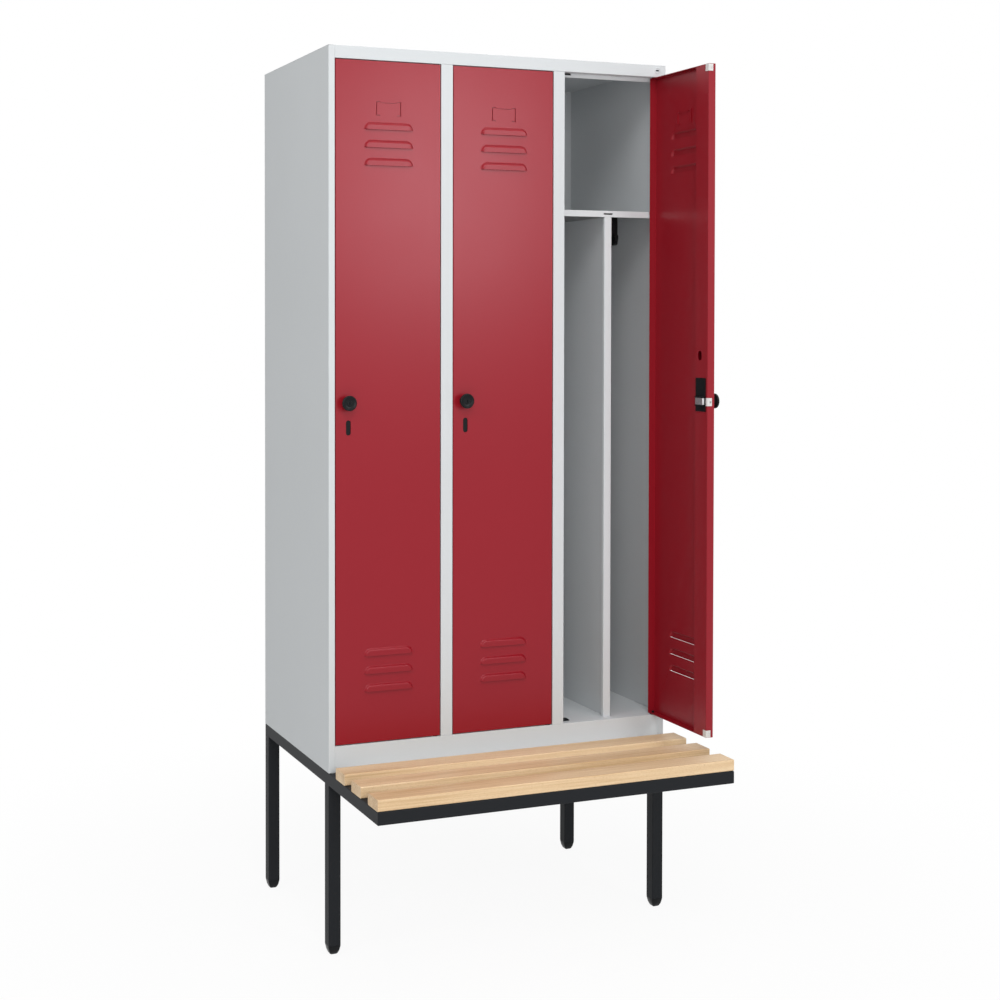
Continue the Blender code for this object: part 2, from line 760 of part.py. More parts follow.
def knob_mesh():
    """Knob with its neck and spindle, turned about the door's normal, with a keyhole in its face."""
    seat = -SEAT_GAP
    crown = -KNOB_REACH
    under = crown + KNOB_HEAD
    profile = [
        (0, LEAF_DEPTH),
        (SPINDLE_RADIUS, LEAF_DEPTH),
        (SPINDLE_RADIUS, seat),
        (KNOB_NECK_RADIUS, seat),
        (KNOB_NECK_RADIUS, under + KNOB_FLARE),
        (KNOB_RADIUS - KNOB_ROUNDING, under),
        (KNOB_RADIUS, under - KNOB_ROUNDING),
        (KNOB_RADIUS, crown + KNOB_ROUNDING),
        (KNOB_RADIUS - KNOB_ROUNDING, crown),
        (0, crown),
    ]
    made = placed("knob", mesh_from(turned(profile, along_y), "knob"), BLACK_PLASTIC, None)
    keyhole = block(
        (-KEYHOLE_WIDTH / 2, crown - CUT_OVERRUN, -KEYHOLE_LENGTH / 2),
        (KEYHOLE_WIDTH / 2, crown + KEYHOLE_DEPTH, KEYHOLE_LENGTH / 2),
    )
    boolean(made, tool("keyhole", keyhole))
    return settled(made)


def bumper_mesh():
    """Bumper that wraps the free edge of the leaf, with chamfered arms."""
    edge = FREE_EDGE - SEAT_GAP
    back = LEAF_BACK + SEAT_GAP
    section = [
        (edge - BUMPER_EDGE_LEG, back + BUMPER_INNER_LEG - BUMPER_ARM),
        (edge - BUMPER_EDGE_LEG, back + BUMPER_INNER_LEG),
        (edge - BUMPER_EDGE_LEG + BUMPER_ARM, back + BUMPER_INNER_LEG),
        (edge - BUMPER_EDGE_LEG + BUMPER_ARM, back),
        (edge, back),
        (edge, back + BUMPER_INNER_LEG - BUMPER_ARM),
    ]
    body = prism(along_z, section, 0, BUMPER_HEIGHT)
    made = placed("bumper", mesh_from(body, "bumper"), WHITE_PLASTIC, None)
    reach = BUMPER_ARM + CUT_OVERRUN
    corners = [(0, -CUT_OVERRUN), (reach, -CUT_OVERRUN), (reach, BUMPER_CORNER + CUT_OVERRUN)]
    for flip in (0, 1):
        outline = [
            (edge - BUMPER_EDGE_LEG + BUMPER_ARM - BUMPER_CORNER - CUT_OVERRUN + u,
             BUMPER_HEIGHT - v if flip else v)
            for u, v in corners
        ]
        wedge = prism(
            along_y, outline, back - CUT_OVERRUN, back + BUMPER_INNER_LEG + CUT_OVERRUN
        )
        boolean(made, tool("bumper_corner_%d" % flip, wedge))
    return settled(made)


def pin_mesh():
    """Upper pivot pin of a leaf, with the collar that seats it below the leaf's top flange."""
    seat = LEAF_TOP - SHEET - SEAT_GAP
    tip = OPENING_TOP + BUSH_LENGTH
    profile = [
        (0, seat - COLLAR_HEIGHT),
        (COLLAR_RADIUS, seat - COLLAR_HEIGHT),
        (COLLAR_RADIUS, seat),
        (PIVOT_RADIUS, seat),
        (PIVOT_RADIUS, tip - PIVOT_TIP),
        (PIVOT_RADIUS - PIVOT_TIP, tip),
        (0, tip),
    ]
    return mesh_from(turned(profile, along_z), "top_pin")


def bottom_pivot_mesh():
    """Lower bush of a door, with the stud that its leaf stands and turns on."""
    seat = OPENING_BOTTOM + SEAT_GAP
    flange_top = LEAF_BOTTOM - SEAT_GAP
    tip = LEAF_BOTTOM + PIVOT_LENGTH
    profile = [
        (0, seat - BUSH_LENGTH),
        (BUSH_RADIUS, seat - BUSH_LENGTH),
        (BUSH_RADIUS, seat),
        (BUSH_FLANGE_RADIUS, seat),
        (BUSH_FLANGE_RADIUS, flange_top),
        (PIVOT_RADIUS, flange_top),
        (PIVOT_RADIUS, tip - PIVOT_TIP),
        (PIVOT_RADIUS - PIVOT_TIP, tip),
        (0, tip),
    ]
    return mesh_from(turned(profile, along_z), "bottom_pivot")


def top_bush_mesh():
    """Flanged bush in the header that holds the upper pin of a door."""
    bore = PIVOT_RADIUS + SEAT_GAP
    flange_bottom = LEAF_TOP + SEAT_GAP
    seat = OPENING_TOP - SEAT_GAP
    profile = [
        (bore, flange_bottom),
        (BUSH_FLANGE_RADIUS, flange_bottom),
        (BUSH_FLANGE_RADIUS, seat),
        (BUSH_RADIUS, seat),
        (BUSH_RADIUS, OPENING_TOP + BUSH_LENGTH),
        (bore, OPENING_TOP + BUSH_LENGTH),
    ]
    return mesh_from(turned(profile, along_z, closed=True), "top_bush")


def doors(parent):
    """Hang each door with its lock, pins and bumpers on its hinge axis."""
    leaf, channel, case, bolt = leaf_mesh(), channel_mesh(), case_mesh(), bolt_mesh()
    knob, bumper, pin = knob_mesh(), bumper_mesh(), pin_mesh()
    bottom_pivot, top_bush = bottom_pivot_mesh(), top_bush_mesh()
    axis = (KNOB_X, LEAF_FACE, KNOB_Z)
    for index in range(DOOR_COUNT):
        number = index + 1
        place = (pivot_x(index), PIVOT_DEPTH, 0)
        turn = OPEN_ANGLE if number == OPEN_DOOR else 0.0
        placed("bottom_pivot_%d" % number, bottom_pivot, BLACK_PLASTIC, parent, place)
        placed("top_bush_%d" % number, top_bush, BLACK_PLASTIC, parent, place)
        hinge = empty("hinge_%d" % number, parent, place, turn)
        placed("door_leaf_%d" % number, leaf, DOOR_RED, hinge)
        placed("lock_channel_%d" % number, channel, DOOR_RED, hinge)
        placed("lock_case_%d" % number, case, BLACK_PLASTIC, hinge)
        placed("top_pin_%d" % number, pin, ZINC, hinge)
        placed("knob_%d" % number, knob, BLACK_PLASTIC, hinge, axis)
        placed("bolt_%d" % number, bolt, ZINC, hinge, axis)
        low = (0, 0, LEAF_BOTTOM + BUMPER_FROM_END)
        high = (0, 0, LEAF_TOP - BUMPER_FROM_END - BUMPER_HEIGHT)
        placed("bumper_bottom_%d" % number, bumper, WHITE_PLASTIC, hinge, low)
        placed("bumper_top_%d" % number, bumper, WHITE_PLASTIC, hinge, high)


def shelf(index, parent):
    """Hat shelf: a pan turned down on all four sides, with a slot in its front flange."""
    left, right = bay_left(index) + SEAT_GAP, bay_right(index) - SEAT_GAP
    profile = [(left, SHELF_FLANGE), (left, 0), (right, 0), (right, SHELF_FLANGE)]
    middle = opening_middle(index)
    half = SHELF_SLOT_LENGTH / 2
    level = SHELF_FLANGE / 2
    slot = rounded(
        (middle - half, level - SHELF_SLOT_HEIGHT / 2),
        (middle + half, level + SHELF_SLOT_HEIGHT / 2),
        SHELF_SLOT_HEIGHT / 2,
    )
    skin, _ = pan(profile, INSIDE_FRONT, INSIDE_REAR, 1, [], low_holes=[slot])
    made = walled("shelf_%d" % (index + 1), skin)
    for vert in made.data.vertices:
        across, down, deep = vert.co
        vert.co = (across, deep, SHELF_TOP - down)
    made.parent = parent
    made.data.materials.append(finish(BODY_GREY))


def partition(index, parent):
    """Upright sheet that halves a compartment below the shelf, with a folded nose in front."""
    middle = opening_middle(index)
    web, half = SHEET / 2, PARTITION_NOSE / 2
    rear_of_nose = INSIDE_FRONT + PARTITION_NOSE_DEPTH
    section = folded(
        [
            (middle - web, INSIDE_REAR),
            (middle - web, rear_of_nose),
            (middle - half, rear_of_nose),
            (middle - half, INSIDE_FRONT),
            (middle + half, INSIDE_FRONT),
            (middle + half, rear_of_nose),
            (middle + web + SHEET, rear_of_nose),
        ][::-1]
    )
    name = "partition_%d" % (index + 1)
    body = prism(along_z, section, OPENING_BOTTOM + SEAT_GAP, SHELF_BOTTOM - SEAT_GAP)
    placed(name, mesh_from(body, name), BODY_GREY, parent)


def hook(index, parent):
    """Double coat hook under the shelf: a plate that hangs from a foot, with an arm fore and aft."""
    name = "coat_hook_%d" % (index + 1)
    side = opening_middle(index) + HOOK_FROM_PARTITION
    deep = INSIDE_FRONT + HOOK_DEPTH
    low, top = SHELF_BOTTOM - HOOK_DROP, SHELF_TOP - SHEET - SEAT_GAP
    half, stem = HOOK_WIDTH / 2, HOOK_THICKNESS / 2
    outline = (
        arc((side - half + HOOK_CORNER, low + HOOK_CORNER), HOOK_CORNER, 180, 270, HOOK_TIP_STEPS)
        + arc((side + half - HOOK_CORNER, low + HOOK_CORNER), HOOK_CORNER, 270, 360, HOOK_TIP_STEPS)
        + [(side + half, top - HOOK_FOOT / 2), (side - half, top - HOOK_FOOT / 2)]
    )
    plate = prism(along_y, outline, deep - stem, deep + stem)
    made = placed(name, mesh_from(plate, name), BLACK_PLASTIC, parent)
    wide, long = half + HOOK_FOOT_OVERHANG, HOOK_FOOT_LENGTH / 2
    foot = block((side - wide, deep - long, top - HOOK_FOOT), (side + wide, deep + long, top))
    boolean(made, tool(name + "_foot", foot, parent), "UNION")
    arms = prism(along_x, arms_outline(deep, low), side - HOOK_ARM_WIDTH / 2, side + HOOK_ARM_WIDTH / 2)
    boolean(made, tool(name + "_arms", arms, parent), "UNION")


def arms_outline(deep, low):
    """Return the outline of a hook's two arms from the side: a half ring with upright tips."""
    stem = HOOK_THICKNESS / 2
    middle = (deep, low + HOOK_ARM_RISE + HOOK_ARM_REACH)
    arm, tip = HOOK_ARM_REACH - stem, middle[1] + HOOK_TIP_RISE
    return (
        arc((deep + arm, tip), stem, 0, 180, HOOK_TIP_STEPS)
        + arc(middle, HOOK_ARM_REACH - HOOK_THICKNESS, 0, -180, HOOK_ARC_STEPS)
        + arc((deep - arm, tip), stem, 0, 180, HOOK_TIP_STEPS)
        + arc(middle, HOOK_ARM_REACH, 180, 360, HOOK_ARC_STEPS)
    )


def side_frame(name, side, parent):
    """Side rail with its two legs, welded from square tube and mitred at the front."""
    outer = side * BODY_WIDTH / 2
    inner = outer - side * TUBE
    front, rear = -BENCH_REACH, BODY_DEPTH
    silhouette = [
        (front, RAIL_BOTTOM),
        (0, RAIL_BOTTOM),
        (0, LEG_BOTTOM),
        (TUBE, LEG_BOTTOM),
        (TUBE, RAIL_BOTTOM),
        (rear - TUBE, RAIL_BOTTOM),
        (rear - TUBE, LEG_BOTTOM),
        (rear, LEG_BOTTOM),
        (rear, BASE_HEIGHT),
        (front, BASE_HEIGHT),
    ]
    body = prism(along_x, silhouette, min(outer, inner), max(outer, inner))
    made = placed(name, mesh_from(body, name), FRAME_BLACK, parent)
    low, high = min(outer, inner) + TUBE_WALL, max(outer, inner) - TUBE_WALL
    rail_hollow = block(
        (low, front - CUT_OVERRUN, RAIL_BOTTOM + TUBE_WALL),
        (high, rear - TUBE_WALL, BASE_HEIGHT - TUBE_WALL),
    )
    boolean(made, tool(name + "_rail_hollow", rail_hollow, parent))
    for start in (0, rear - TUBE):
        leg_hollow = block(
            (low, start + TUBE_WALL, LEG_BOTTOM - CUT_OVERRUN),
            (high, start + TUBE - TUBE_WALL, BASE_HEIGHT - TUBE),
        )
        neck = block(
            (low, start + TUBE_WALL, BASE_HEIGHT - TUBE - TUBE_WALL),
            (high, start + TUBE - TUBE_WALL, BASE_HEIGHT - TUBE / 2),
        )
        boolean(made, tool("%s_leg_hollow_%d" % (name, start > 0), leg_hollow, parent))
        boolean(made, tool("%s_neck_%d" % (name, start > 0), neck, parent))
    mitre = [
        (outer + side * CUT_OVERRUN, front - CUT_OVERRUN - CUT_OVERRUN),
        (outer + side * CUT_OVERRUN, front + SEAT_GAP - CUT_OVERRUN),
        (inner - side * CUT_OVERRUN, front + TUBE + SEAT_GAP + CUT_OVERRUN),
        (inner - side * CUT_OVERRUN, front - CUT_OVERRUN - CUT_OVERRUN),
    ]
    wedge = prism(along_z, mitre, RAIL_BOTTOM - CUT_OVERRUN, BASE_HEIGHT + CUT_OVERRUN)
    boolean(made, tool(name + "_mitre", wedge, parent))


def front_rail(parent):
    """Front rail of the bench, mitred at both ends."""
    half = BODY_WIDTH / 2
    front = -BENCH_REACH
    outline = [(-half, front), (half, front), (half - TUBE, front + TUBE), (TUBE - half, front + TUBE)]
    body = prism(along_z, outline, RAIL_BOTTOM, BASE_HEIGHT)
    made = placed("front_rail", mesh_from(body, "front_rail"), FRAME_BLACK, parent)
    hollow = block(
        (-half - CUT_OVERRUN, front + TUBE_WALL, RAIL_BOTTOM + TUBE_WALL),
        (half + CUT_OVERRUN, front + TUBE - TUBE_WALL, BASE_HEIGHT - TUBE_WALL),
    )
    boolean(made, tool("front_rail_hollow", hollow, parent))


def cross_rail(name, start, parent):
    """Rail of square tube between the two side rails."""
    half = BODY_WIDTH / 2 - TUBE - SEAT_GAP
    outline = rectangle((start, RAIL_BOTTOM), (start + TUBE, BASE_HEIGHT))
    hollow = rectangle(
        (start + TUBE_WALL, RAIL_BOTTOM + TUBE_WALL),
        (start + TUBE - TUBE_WALL, BASE_HEIGHT - TUBE_WALL),
    )
    body = prism(along_x, outline, -half, half, [hollow])
    placed(name, mesh_from(body, name), FRAME_BLACK, parent)


def foot_mesh():
    """Foot: a block below a leg, rounded towards the floor, with a spigot that fills the tube."""
    wide, narrow = TUBE / 2, FOOT_BOTTOM_WIDTH / 2
    spigot = wide - TUBE_WALL - SEAT_GAP
    rise = FOOT_HEIGHT - FOOT_SHOULDER
    steps = [(narrow + (wide - narrow) * out, rise * up) for out, up in FOOT_PROFILE]
    steps += [(wide, FOOT_HEIGHT), (spigot, FOOT_HEIGHT), (spigot, FOOT_HEIGHT + FOOT_SPIGOT)]
    rings = []
    for half, level in steps:
        radius = min(FOOT_CORNER, half * FOOT_CORNER_SHARE)
        outline = rounded((-half, -half), (half, half), radius)
        rings.append([(x, y, level) for x, y in outline])
    return mesh_from(lofted(rings), "foot")


def slat(number, parent):
    """Bench slat of beech with rounded edges."""
    front = SLAT_FRONT + (number - 1) * SLAT_PITCH
    bottom = BASE_HEIGHT + SEAT_GAP
    half = BODY_WIDTH / 2
    body = block((-half, front, bottom), (half, front + SLAT_WIDTH, bottom + SLAT_THICKNESS))
    name = "bench_slat_%d" % number
    made = placed(name, mesh_from(body, name), BEECH, parent)
    bevel = made.modifiers.new("rounding", "BEVEL")
    bevel.width = SLAT_ROUNDING
    bevel.segments = BEND_STEPS
    bevel.limit_method = "ANGLE"


def base(parent):
    """Tubular base with its feet, and the bench in front of the cabinet."""
    side_frame("side_frame_left", -1, parent)
    side_frame("side_frame_right", 1, parent)
    front_rail(parent)
    cross_rail("middle_rail", 0, parent)
    cross_rail("rear_rail", BODY_DEPTH - TUBE, parent)
    foot = foot_mesh()
    for side, side_name in ((-1, "left"), (1, "right")):
        for start, end_name in ((0, "front"), (BODY_DEPTH - TUBE, "rear")):
            place = (side * (BODY_WIDTH - TUBE) / 2, start + TUBE / 2, 0)
            placed("foot_%s_%s" % (end_name, side_name), foot, BLACK_PLASTIC, parent, place)
    for number in range(1, SLAT_COUNT + 1):
        slat(number, parent)


def cabinet(parent):
    """Carcass of the cabinet with what is fixed inside its compartments."""
    side_panel("side_panel_left", -1, parent)
    side_panel("side_panel_right", 1, parent)
    for index in range(1, DOOR_COUNT):
        divider("divider_%d" % index, index, parent)
    roof(parent)
    floor(parent)
    back_panel(parent)
    for index in range(DOOR_COUNT):
        shelf(index, parent)
        partition(index, parent)
        hook(index, parent)


def origin():
    """Return where the object's box has its middle, with the open door's knob at its right end."""
    open_knob = pivot_x(OPEN_DOOR - 1) - LEAF_FACE + KNOB_REACH
    right = max(BODY_WIDTH / 2, open_knob)
    return ((right - BODY_WIDTH / 2) / 2, (BODY_DEPTH - BENCH_REACH) / 2, 0)


def main():
    """Build the whole object about its origin."""
    clear_scene()
    root = empty("locker_with_bench", location=-Vector(origin()))
    cabinet(root)
    base(root)
    doors(root)


main()
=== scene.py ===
"""Looks of a steel locker with three compartments and a bench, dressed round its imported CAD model.

Lengths are in metres, in the CAD model's own frame: X along the width, Y from front to back, Z up.
"""

from __future__ import annotations

import json
import logging
import math
from collections.abc import Callable, Sequence
from dataclasses import dataclass
from enum import Enum

import bmesh
import bpy
from bmesh.types import BMesh, BMVert
from bpy.types import ID, Material, Mesh, NodeSocket, NodeTree, Object
from mathutils import Matrix, Vector
from mathutils.geometry import delaunay_2d_cdt

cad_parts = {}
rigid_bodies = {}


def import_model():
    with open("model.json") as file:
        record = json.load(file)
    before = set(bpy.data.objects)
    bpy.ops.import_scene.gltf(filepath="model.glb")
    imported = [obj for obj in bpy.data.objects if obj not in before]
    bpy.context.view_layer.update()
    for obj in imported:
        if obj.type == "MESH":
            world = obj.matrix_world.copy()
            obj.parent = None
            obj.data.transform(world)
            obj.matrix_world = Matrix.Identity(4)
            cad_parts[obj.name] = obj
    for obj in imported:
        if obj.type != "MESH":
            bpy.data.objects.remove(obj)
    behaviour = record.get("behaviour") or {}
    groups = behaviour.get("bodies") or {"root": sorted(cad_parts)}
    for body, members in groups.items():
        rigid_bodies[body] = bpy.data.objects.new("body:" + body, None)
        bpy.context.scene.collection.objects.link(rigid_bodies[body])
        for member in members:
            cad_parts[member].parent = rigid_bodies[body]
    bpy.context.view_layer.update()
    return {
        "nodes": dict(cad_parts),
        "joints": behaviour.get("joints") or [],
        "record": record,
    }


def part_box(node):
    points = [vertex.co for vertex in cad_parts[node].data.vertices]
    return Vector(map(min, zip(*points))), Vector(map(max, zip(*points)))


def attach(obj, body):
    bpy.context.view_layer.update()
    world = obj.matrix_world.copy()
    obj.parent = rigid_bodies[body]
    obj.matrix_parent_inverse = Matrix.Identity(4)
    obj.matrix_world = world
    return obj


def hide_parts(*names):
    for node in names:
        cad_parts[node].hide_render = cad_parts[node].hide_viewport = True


LOG = logging.getLogger("locker")

Point = tuple[float, float]
Triple = tuple[float, float, float]
Color = tuple[float, float, float, float]
Value = object

MERGE_DISTANCE = 0.00002
FILL_TOLERANCE = MERGE_DISTANCE / 100
FILL_INSIDE = 1
SMOOTH_ANGLE = math.radians(35)
FLAT_ANGLE = math.radians(0.5)
FLAT_COSINE = math.cos(math.radians(1))
QUARTER_TURN = math.pi / 2
ROUND_STEPS = 64
SMALL_STEPS = 32
TINY_STEPS = 16
ROOM_FOR_ROUNDING = 2.0
NEARLY_ROUND = 0.98
NOISE_RANGE = (0.3, 0.7)
# Numbers of the colour sockets of a Mix node, and of the number sockets of a Random Value node
MIX_FIRST, MIX_SECOND, MIX_RESULT = 6, 7, 2
RANDOM_LEAST, RANDOM_MOST, RANDOM_RESULT = 2, 3, 1
ORIGIN = Vector((0, 0, 0)).freeze()
DOOR_TURNS = (0.0, 0.0, QUARTER_TURN)


class Slot(Enum):
    """Material slots of the record, each with one finish."""

    BODY = "body_grey"
    DOOR = "door_red"
    FRAME = "frame_black"
    WOOD = "beech"
    BLACK = "black_plastic"
    WHITE = "white_plastic"
    ZINC = "zinc"


class Kind(Enum):
    """Types of the inputs of a Geometry Nodes group."""

    GEOMETRY = "NodeSocketGeometry"
    MATERIAL = "NodeSocketMaterial"
    VECTOR = "NodeSocketVector"
    NUMBER = "NodeSocketFloat"
    COUNT = "NodeSocketInt"


@dataclass(frozen=True)
class Wire:
    """A node's output, with signs of arithmetic that add Math nodes to its graph."""

    graph: Graph
    socket: NodeSocket

    def __add__(self, other: Value) -> Wire:
        """Return the sum."""
        return self.graph.math("ADD", self, other)

    def __sub__(self, other: Value) -> Wire:
        """Return the difference."""
        return self.graph.math("SUBTRACT", self, other)

    def __rsub__(self, other: Value) -> Wire:
        """Return another value less this one."""
        return self.graph.math("SUBTRACT", other, self)

    def __mul__(self, other: Value) -> Wire:
        """Return the product."""
        return self.graph.math("MULTIPLY", self, other)

    def __truediv__(self, other: Value) -> Wire:
        """Return the quotient."""
        return self.graph.math("DIVIDE", self, other)


class Graph:
    """Short calls for the nodes of one node tree."""

    def __init__(self, tree: NodeTree) -> None:
        """Keep the tree that the nodes go into."""
        self.tree = tree

    def feed(self, socket: NodeSocket, value: Value) -> None:
        """Link an output to an input, or set the input's own value.

        Args:
            socket: The input.
            value: The output, or a plain value.
        """
        if isinstance(value, Wire):
            self.tree.links.new(value.socket, socket)
        else:
            socket.default_value = value

    def add(
        self,
        kind: str,
        inputs: dict[str | int, Value] | None = None,
        output: str | int = 0,
        **settings: Value,
    ) -> Wire:
        """Add a node.

        Args:
            kind: Its type.
            inputs: An output of another node or a plain value for each input, by name or number.
            output: The output that is wanted.
            settings: Values of the node's own properties.

        Returns:
            That output.
        """
        node = self.tree.nodes.new(kind)
        for name, value in settings.items():
            setattr(node, name, value)
        for name, value in (inputs or {}).items():
            self.feed(node.inputs[name], value)
        return Wire(self, node.outputs[output])

    def math(self, operation: str, *values: Value, clamp: bool = False) -> Wire:
        """Return the result of a Math node, kept between zero and one by clamp."""
        inputs = dict(enumerate(values))
        return self.add("ShaderNodeMath", inputs, operation=operation, use_clamp=clamp)

    def combined(self, *parts: Value) -> Wire:
        """Return the vector of three parts."""
        return self.add("ShaderNodeCombineXYZ", dict(enumerate(parts)))

    def parts(self, vector: Wire) -> list[Wire]:
        """Return the three parts of a vector."""
        first = self.add("ShaderNodeSeparateXYZ", {0: vector})
        return [Wire(self, socket) for socket in first.socket.node.outputs]

    def spread(self, value: Wire, source: Point, target: Point, shape: str = "LINEAR") -> Wire:
        """Map one range of values to another, clamped.

        Args:
            value: What is mapped.
            source: The range that it comes from.
            target: The range that it goes to.
            shape: How it runs between the ends.

        Returns:
            The mapped value.
        """
        inputs = dict(enumerate((value, *source, *target)))
        return self.add("ShaderNodeMapRange", inputs, interpolation_type=shape)


class Surface(Graph):
    """One material: a Principled shader whose inputs come from patterns in object coordinates."""

    def __init__(self, name: str) -> None:
        """Start a material.

        Args:
            name: Its name.
        """
        self.material = bpy.data.materials.new(name)
        self.material.use_nodes = True
        super().__init__(self.material.node_tree)
        self.shader = self.tree.nodes["Principled BSDF"]
        self.place = self.add("ShaderNodeTexCoord", output="Object")

    def set(self, **values: Value) -> None:
        """Feed inputs of the shader, each named with underscores for its spaces."""
        for name, value in values.items():
            self.feed(self.shader.inputs[name.replace("_", " ")], value)

    def noise(self, scale: float | Triple, detail: int, vector: Wire | None = None) -> Wire:
        """Add a noise pattern.

        Args:
            scale: Repeats per metre, the same all round or one number for each axis.
            detail: Octaves.
            vector: Where the pattern is read, the object's own coordinates if None.

        Returns:
            The noise, from zero to one.
        """
        vector = vector or self.place
        if isinstance(scale, tuple):
            vector = self.add("ShaderNodeVectorMath", {0: vector, 1: scale}, operation="MULTIPLY")
            scale = 1.0
        inputs = {"Scale": scale, "Detail": detail, "Vector": vector}
        return self.add("ShaderNodeTexNoise", inputs, "Fac")

    def around(self, pattern: Wire, middle: float, below: float, above: float) -> Wire:
        """Return a value that a noise pattern moves about its middle."""
        return self.spread(pattern, NOISE_RANGE, (middle - below, middle + above))

    def toned(self, color: Color, factor: Wire) -> Wire:
        """Return a colour times a value."""
        return self.add("ShaderNodeVectorMath", {0: color[:3], "Scale": factor}, operation="SCALE")

    def ramp(self, factor: Wire, places: Sequence[float], colors: Sequence[Color]) -> Wire:
        """Turn a value into a colour.

        Args:
            factor: The value.
            places: Where each colour is on the ramp.
            colors: The colours.

        Returns:
            The colour.
        """
        result = self.add("ShaderNodeValToRGB", {0: factor})
        elements = result.socket.node.color_ramp.elements
        while len(elements) < len(places):
            elements.new(1.0)
        for element, place, color in zip(elements, places, colors):
            element.position = place
            element.color = color
        return result

    def bump(self, height: Wire, depth: float, under: Wire | None = None) -> Wire:
        """Add a relief.

        Args:
            height: The pattern, from zero to one.
            depth: How far it stands out.
            under: A relief that this one lies on.

        Returns:
            The normal.
        """
        inputs = {"Distance": depth, "Height": height}
        if under:
            inputs["Normal"] = under
        return self.add("ShaderNodeBump", inputs)


@dataclass(frozen=True)
class PowderCoat:
    """Baked powder paint on steel, with its orange peel and a faint unevenness of tone."""

    name: str
    color: Color
    roughness: float
    specular: float
    gloss_tint: Color = (1, 1, 1, 1)
    peel_scale: float = 420.0
    peel_depth: float = 0.00004
    cloud_scale: float = 2.4
    cloud: float = 0.012
    speck_scale: float = 1500.0
    speck_range: Point = (0.35, 0.65)
    speck: float = 0.025
    patch_scale: float = 9.0
    patch: float = 0.006

    def material(self) -> Material:
        """Build the finish.

        Returns:
            Its material.
        """
        paint = Surface(self.name)
        cloud = paint.around(paint.noise(self.cloud_scale, 3), 0.0, self.cloud, self.cloud)
        fine = paint.noise(self.speck_scale, 1)
        specks = paint.spread(fine, self.speck_range, (-self.speck, self.speck))
        patches = paint.noise(self.patch_scale, 2)
        paint.set(
            Base_Color=paint.toned(self.color, cloud + specks + 1.0),
            Roughness=paint.around(patches, self.roughness, self.patch, self.patch),
            Specular_IOR_Level=self.specular,
            Specular_Tint=self.gloss_tint,
            Normal=paint.bump(paint.noise(self.peel_scale, 2), self.peel_depth),
        )
        return paint.material


@dataclass(frozen=True)
class Beech:
    """Lacquered beech, its grain along X, with end grain on the ends of each slat."""

    name: str
    colors: tuple[Color, Color, Color]
    fleck: Color
    color_places: Triple = (0.40, 0.52, 0.64)
    roughness: float = 0.42
    duller: float = 0.08
    glossier: float = 0.05
    specular: float = 0.4
    slat_start: float = -0.4075
    slat_pitch: float = 0.1035
    log_shift: float = 1.37
    wander: Triple = (1.1, 7.0, 7.0)
    wander_depth: float = 0.02
    band: Triple = (0.9, 16.0, 16.0)
    band_share: float = 0.62
    streak: Triple = (5.0, 300.0, 300.0)
    streak_share: float = 0.38
    ray: Triple = (220.0, 2100.0, 2100.0)
    ray_range: Point = (0.60, 0.68)
    ray_share: float = 0.55
    ray_depth: float = 0.00003
    pore_depth: float = 0.00006

    def material(self) -> Material:
        """Build the finish.

        Returns:
            Its material.
        """
        wood = Surface(self.name)
        x, y, z = wood.parts(wood.place)
        log = wood.math("FLOOR", (y - self.slat_start) / self.slat_pitch) * self.log_shift
        place = wood.combined(x + log, y + log, z + log)
        shift = (wood.noise(self.wander, 2, place) - 0.5) * self.wander_depth
        warped = wood.combined(x + log, y + log + shift, z + log + shift)
        bands = wood.noise(self.band, 3, warped)
        streaks = wood.noise(self.streak, 3, warped)
        rays = wood.noise(self.ray, 1, place)
        grain = bands * self.band_share + streaks * self.streak_share
        flecked = {
            "Factor": wood.spread(rays, self.ray_range, (0.0, self.ray_share)),
            MIX_FIRST: wood.ramp(grain, self.color_places, self.colors),
            MIX_SECOND: self.fleck,
        }
        wood.set(
            Base_Color=wood.add("ShaderNodeMix", flecked, MIX_RESULT, data_type="RGBA"),
            Roughness=wood.around(streaks, self.roughness, self.glossier, self.duller),
            Specular_IOR_Level=self.specular,
            Normal=wood.bump(rays, self.ray_depth, wood.bump(streaks, self.pore_depth)),
        )
        return wood.material


@dataclass(frozen=True)
class MouldedPlastic:
    """Moulded plastic with the fine grain of a spark-eroded tool."""

    name: str
    color: Color
    roughness: float
    specular: float
    tone_scale: float = 55.0
    tone: float = 0.08
    grain_scale: float = 2600.0
    grain_depth: float = 0.00002
    grain_gloss: float = 0.06

    def material(self) -> Material:
        """Build the finish.

        Returns:
            Its material.
        """
        plastic = Surface(self.name)
        grain = plastic.noise(self.grain_scale, 2)
        tone = plastic.around(plastic.noise(self.tone_scale, 2), 1.0, self.tone, self.tone)
        plastic.set(
            Base_Color=plastic.toned(self.color, tone),
            Roughness=plastic.around(grain, self.roughness, self.grain_gloss, self.grain_gloss),
            Specular_IOR_Level=self.specular,
            Normal=plastic.bump(grain, self.grain_depth),
        )
        return plastic.material


@dataclass(frozen=True)
class ZincPlate:
    """Bright zinc plate over rolled steel, faintly drawn along its length."""

    name: str
    color: Color
    roughness: float
    duller: float = 0.1
    glossier: float = 0.06
    lines: Triple = (60.0, 900.0, 2200.0)
    line_depth: float = 0.00002
    cloud_scale: float = 160.0
    darker: float = 0.1
    paler: float = 0.08

    def material(self) -> Material:
        """Build the finish.

        Returns:
            Its material.
        """
        zinc = Surface(self.name)
        drawn = zinc.noise(self.lines, 2)
        tone = zinc.around(zinc.noise(self.cloud_scale, 2), 1.0, self.darker, self.paler)
        zinc.set(
            Base_Color=zinc.toned(self.color, tone),
            Roughness=zinc.around(drawn, self.roughness, self.glossier, self.duller),
            Normal=zinc.bump(drawn, self.line_depth),
            Metallic=1.0,
        )
        return zinc.material


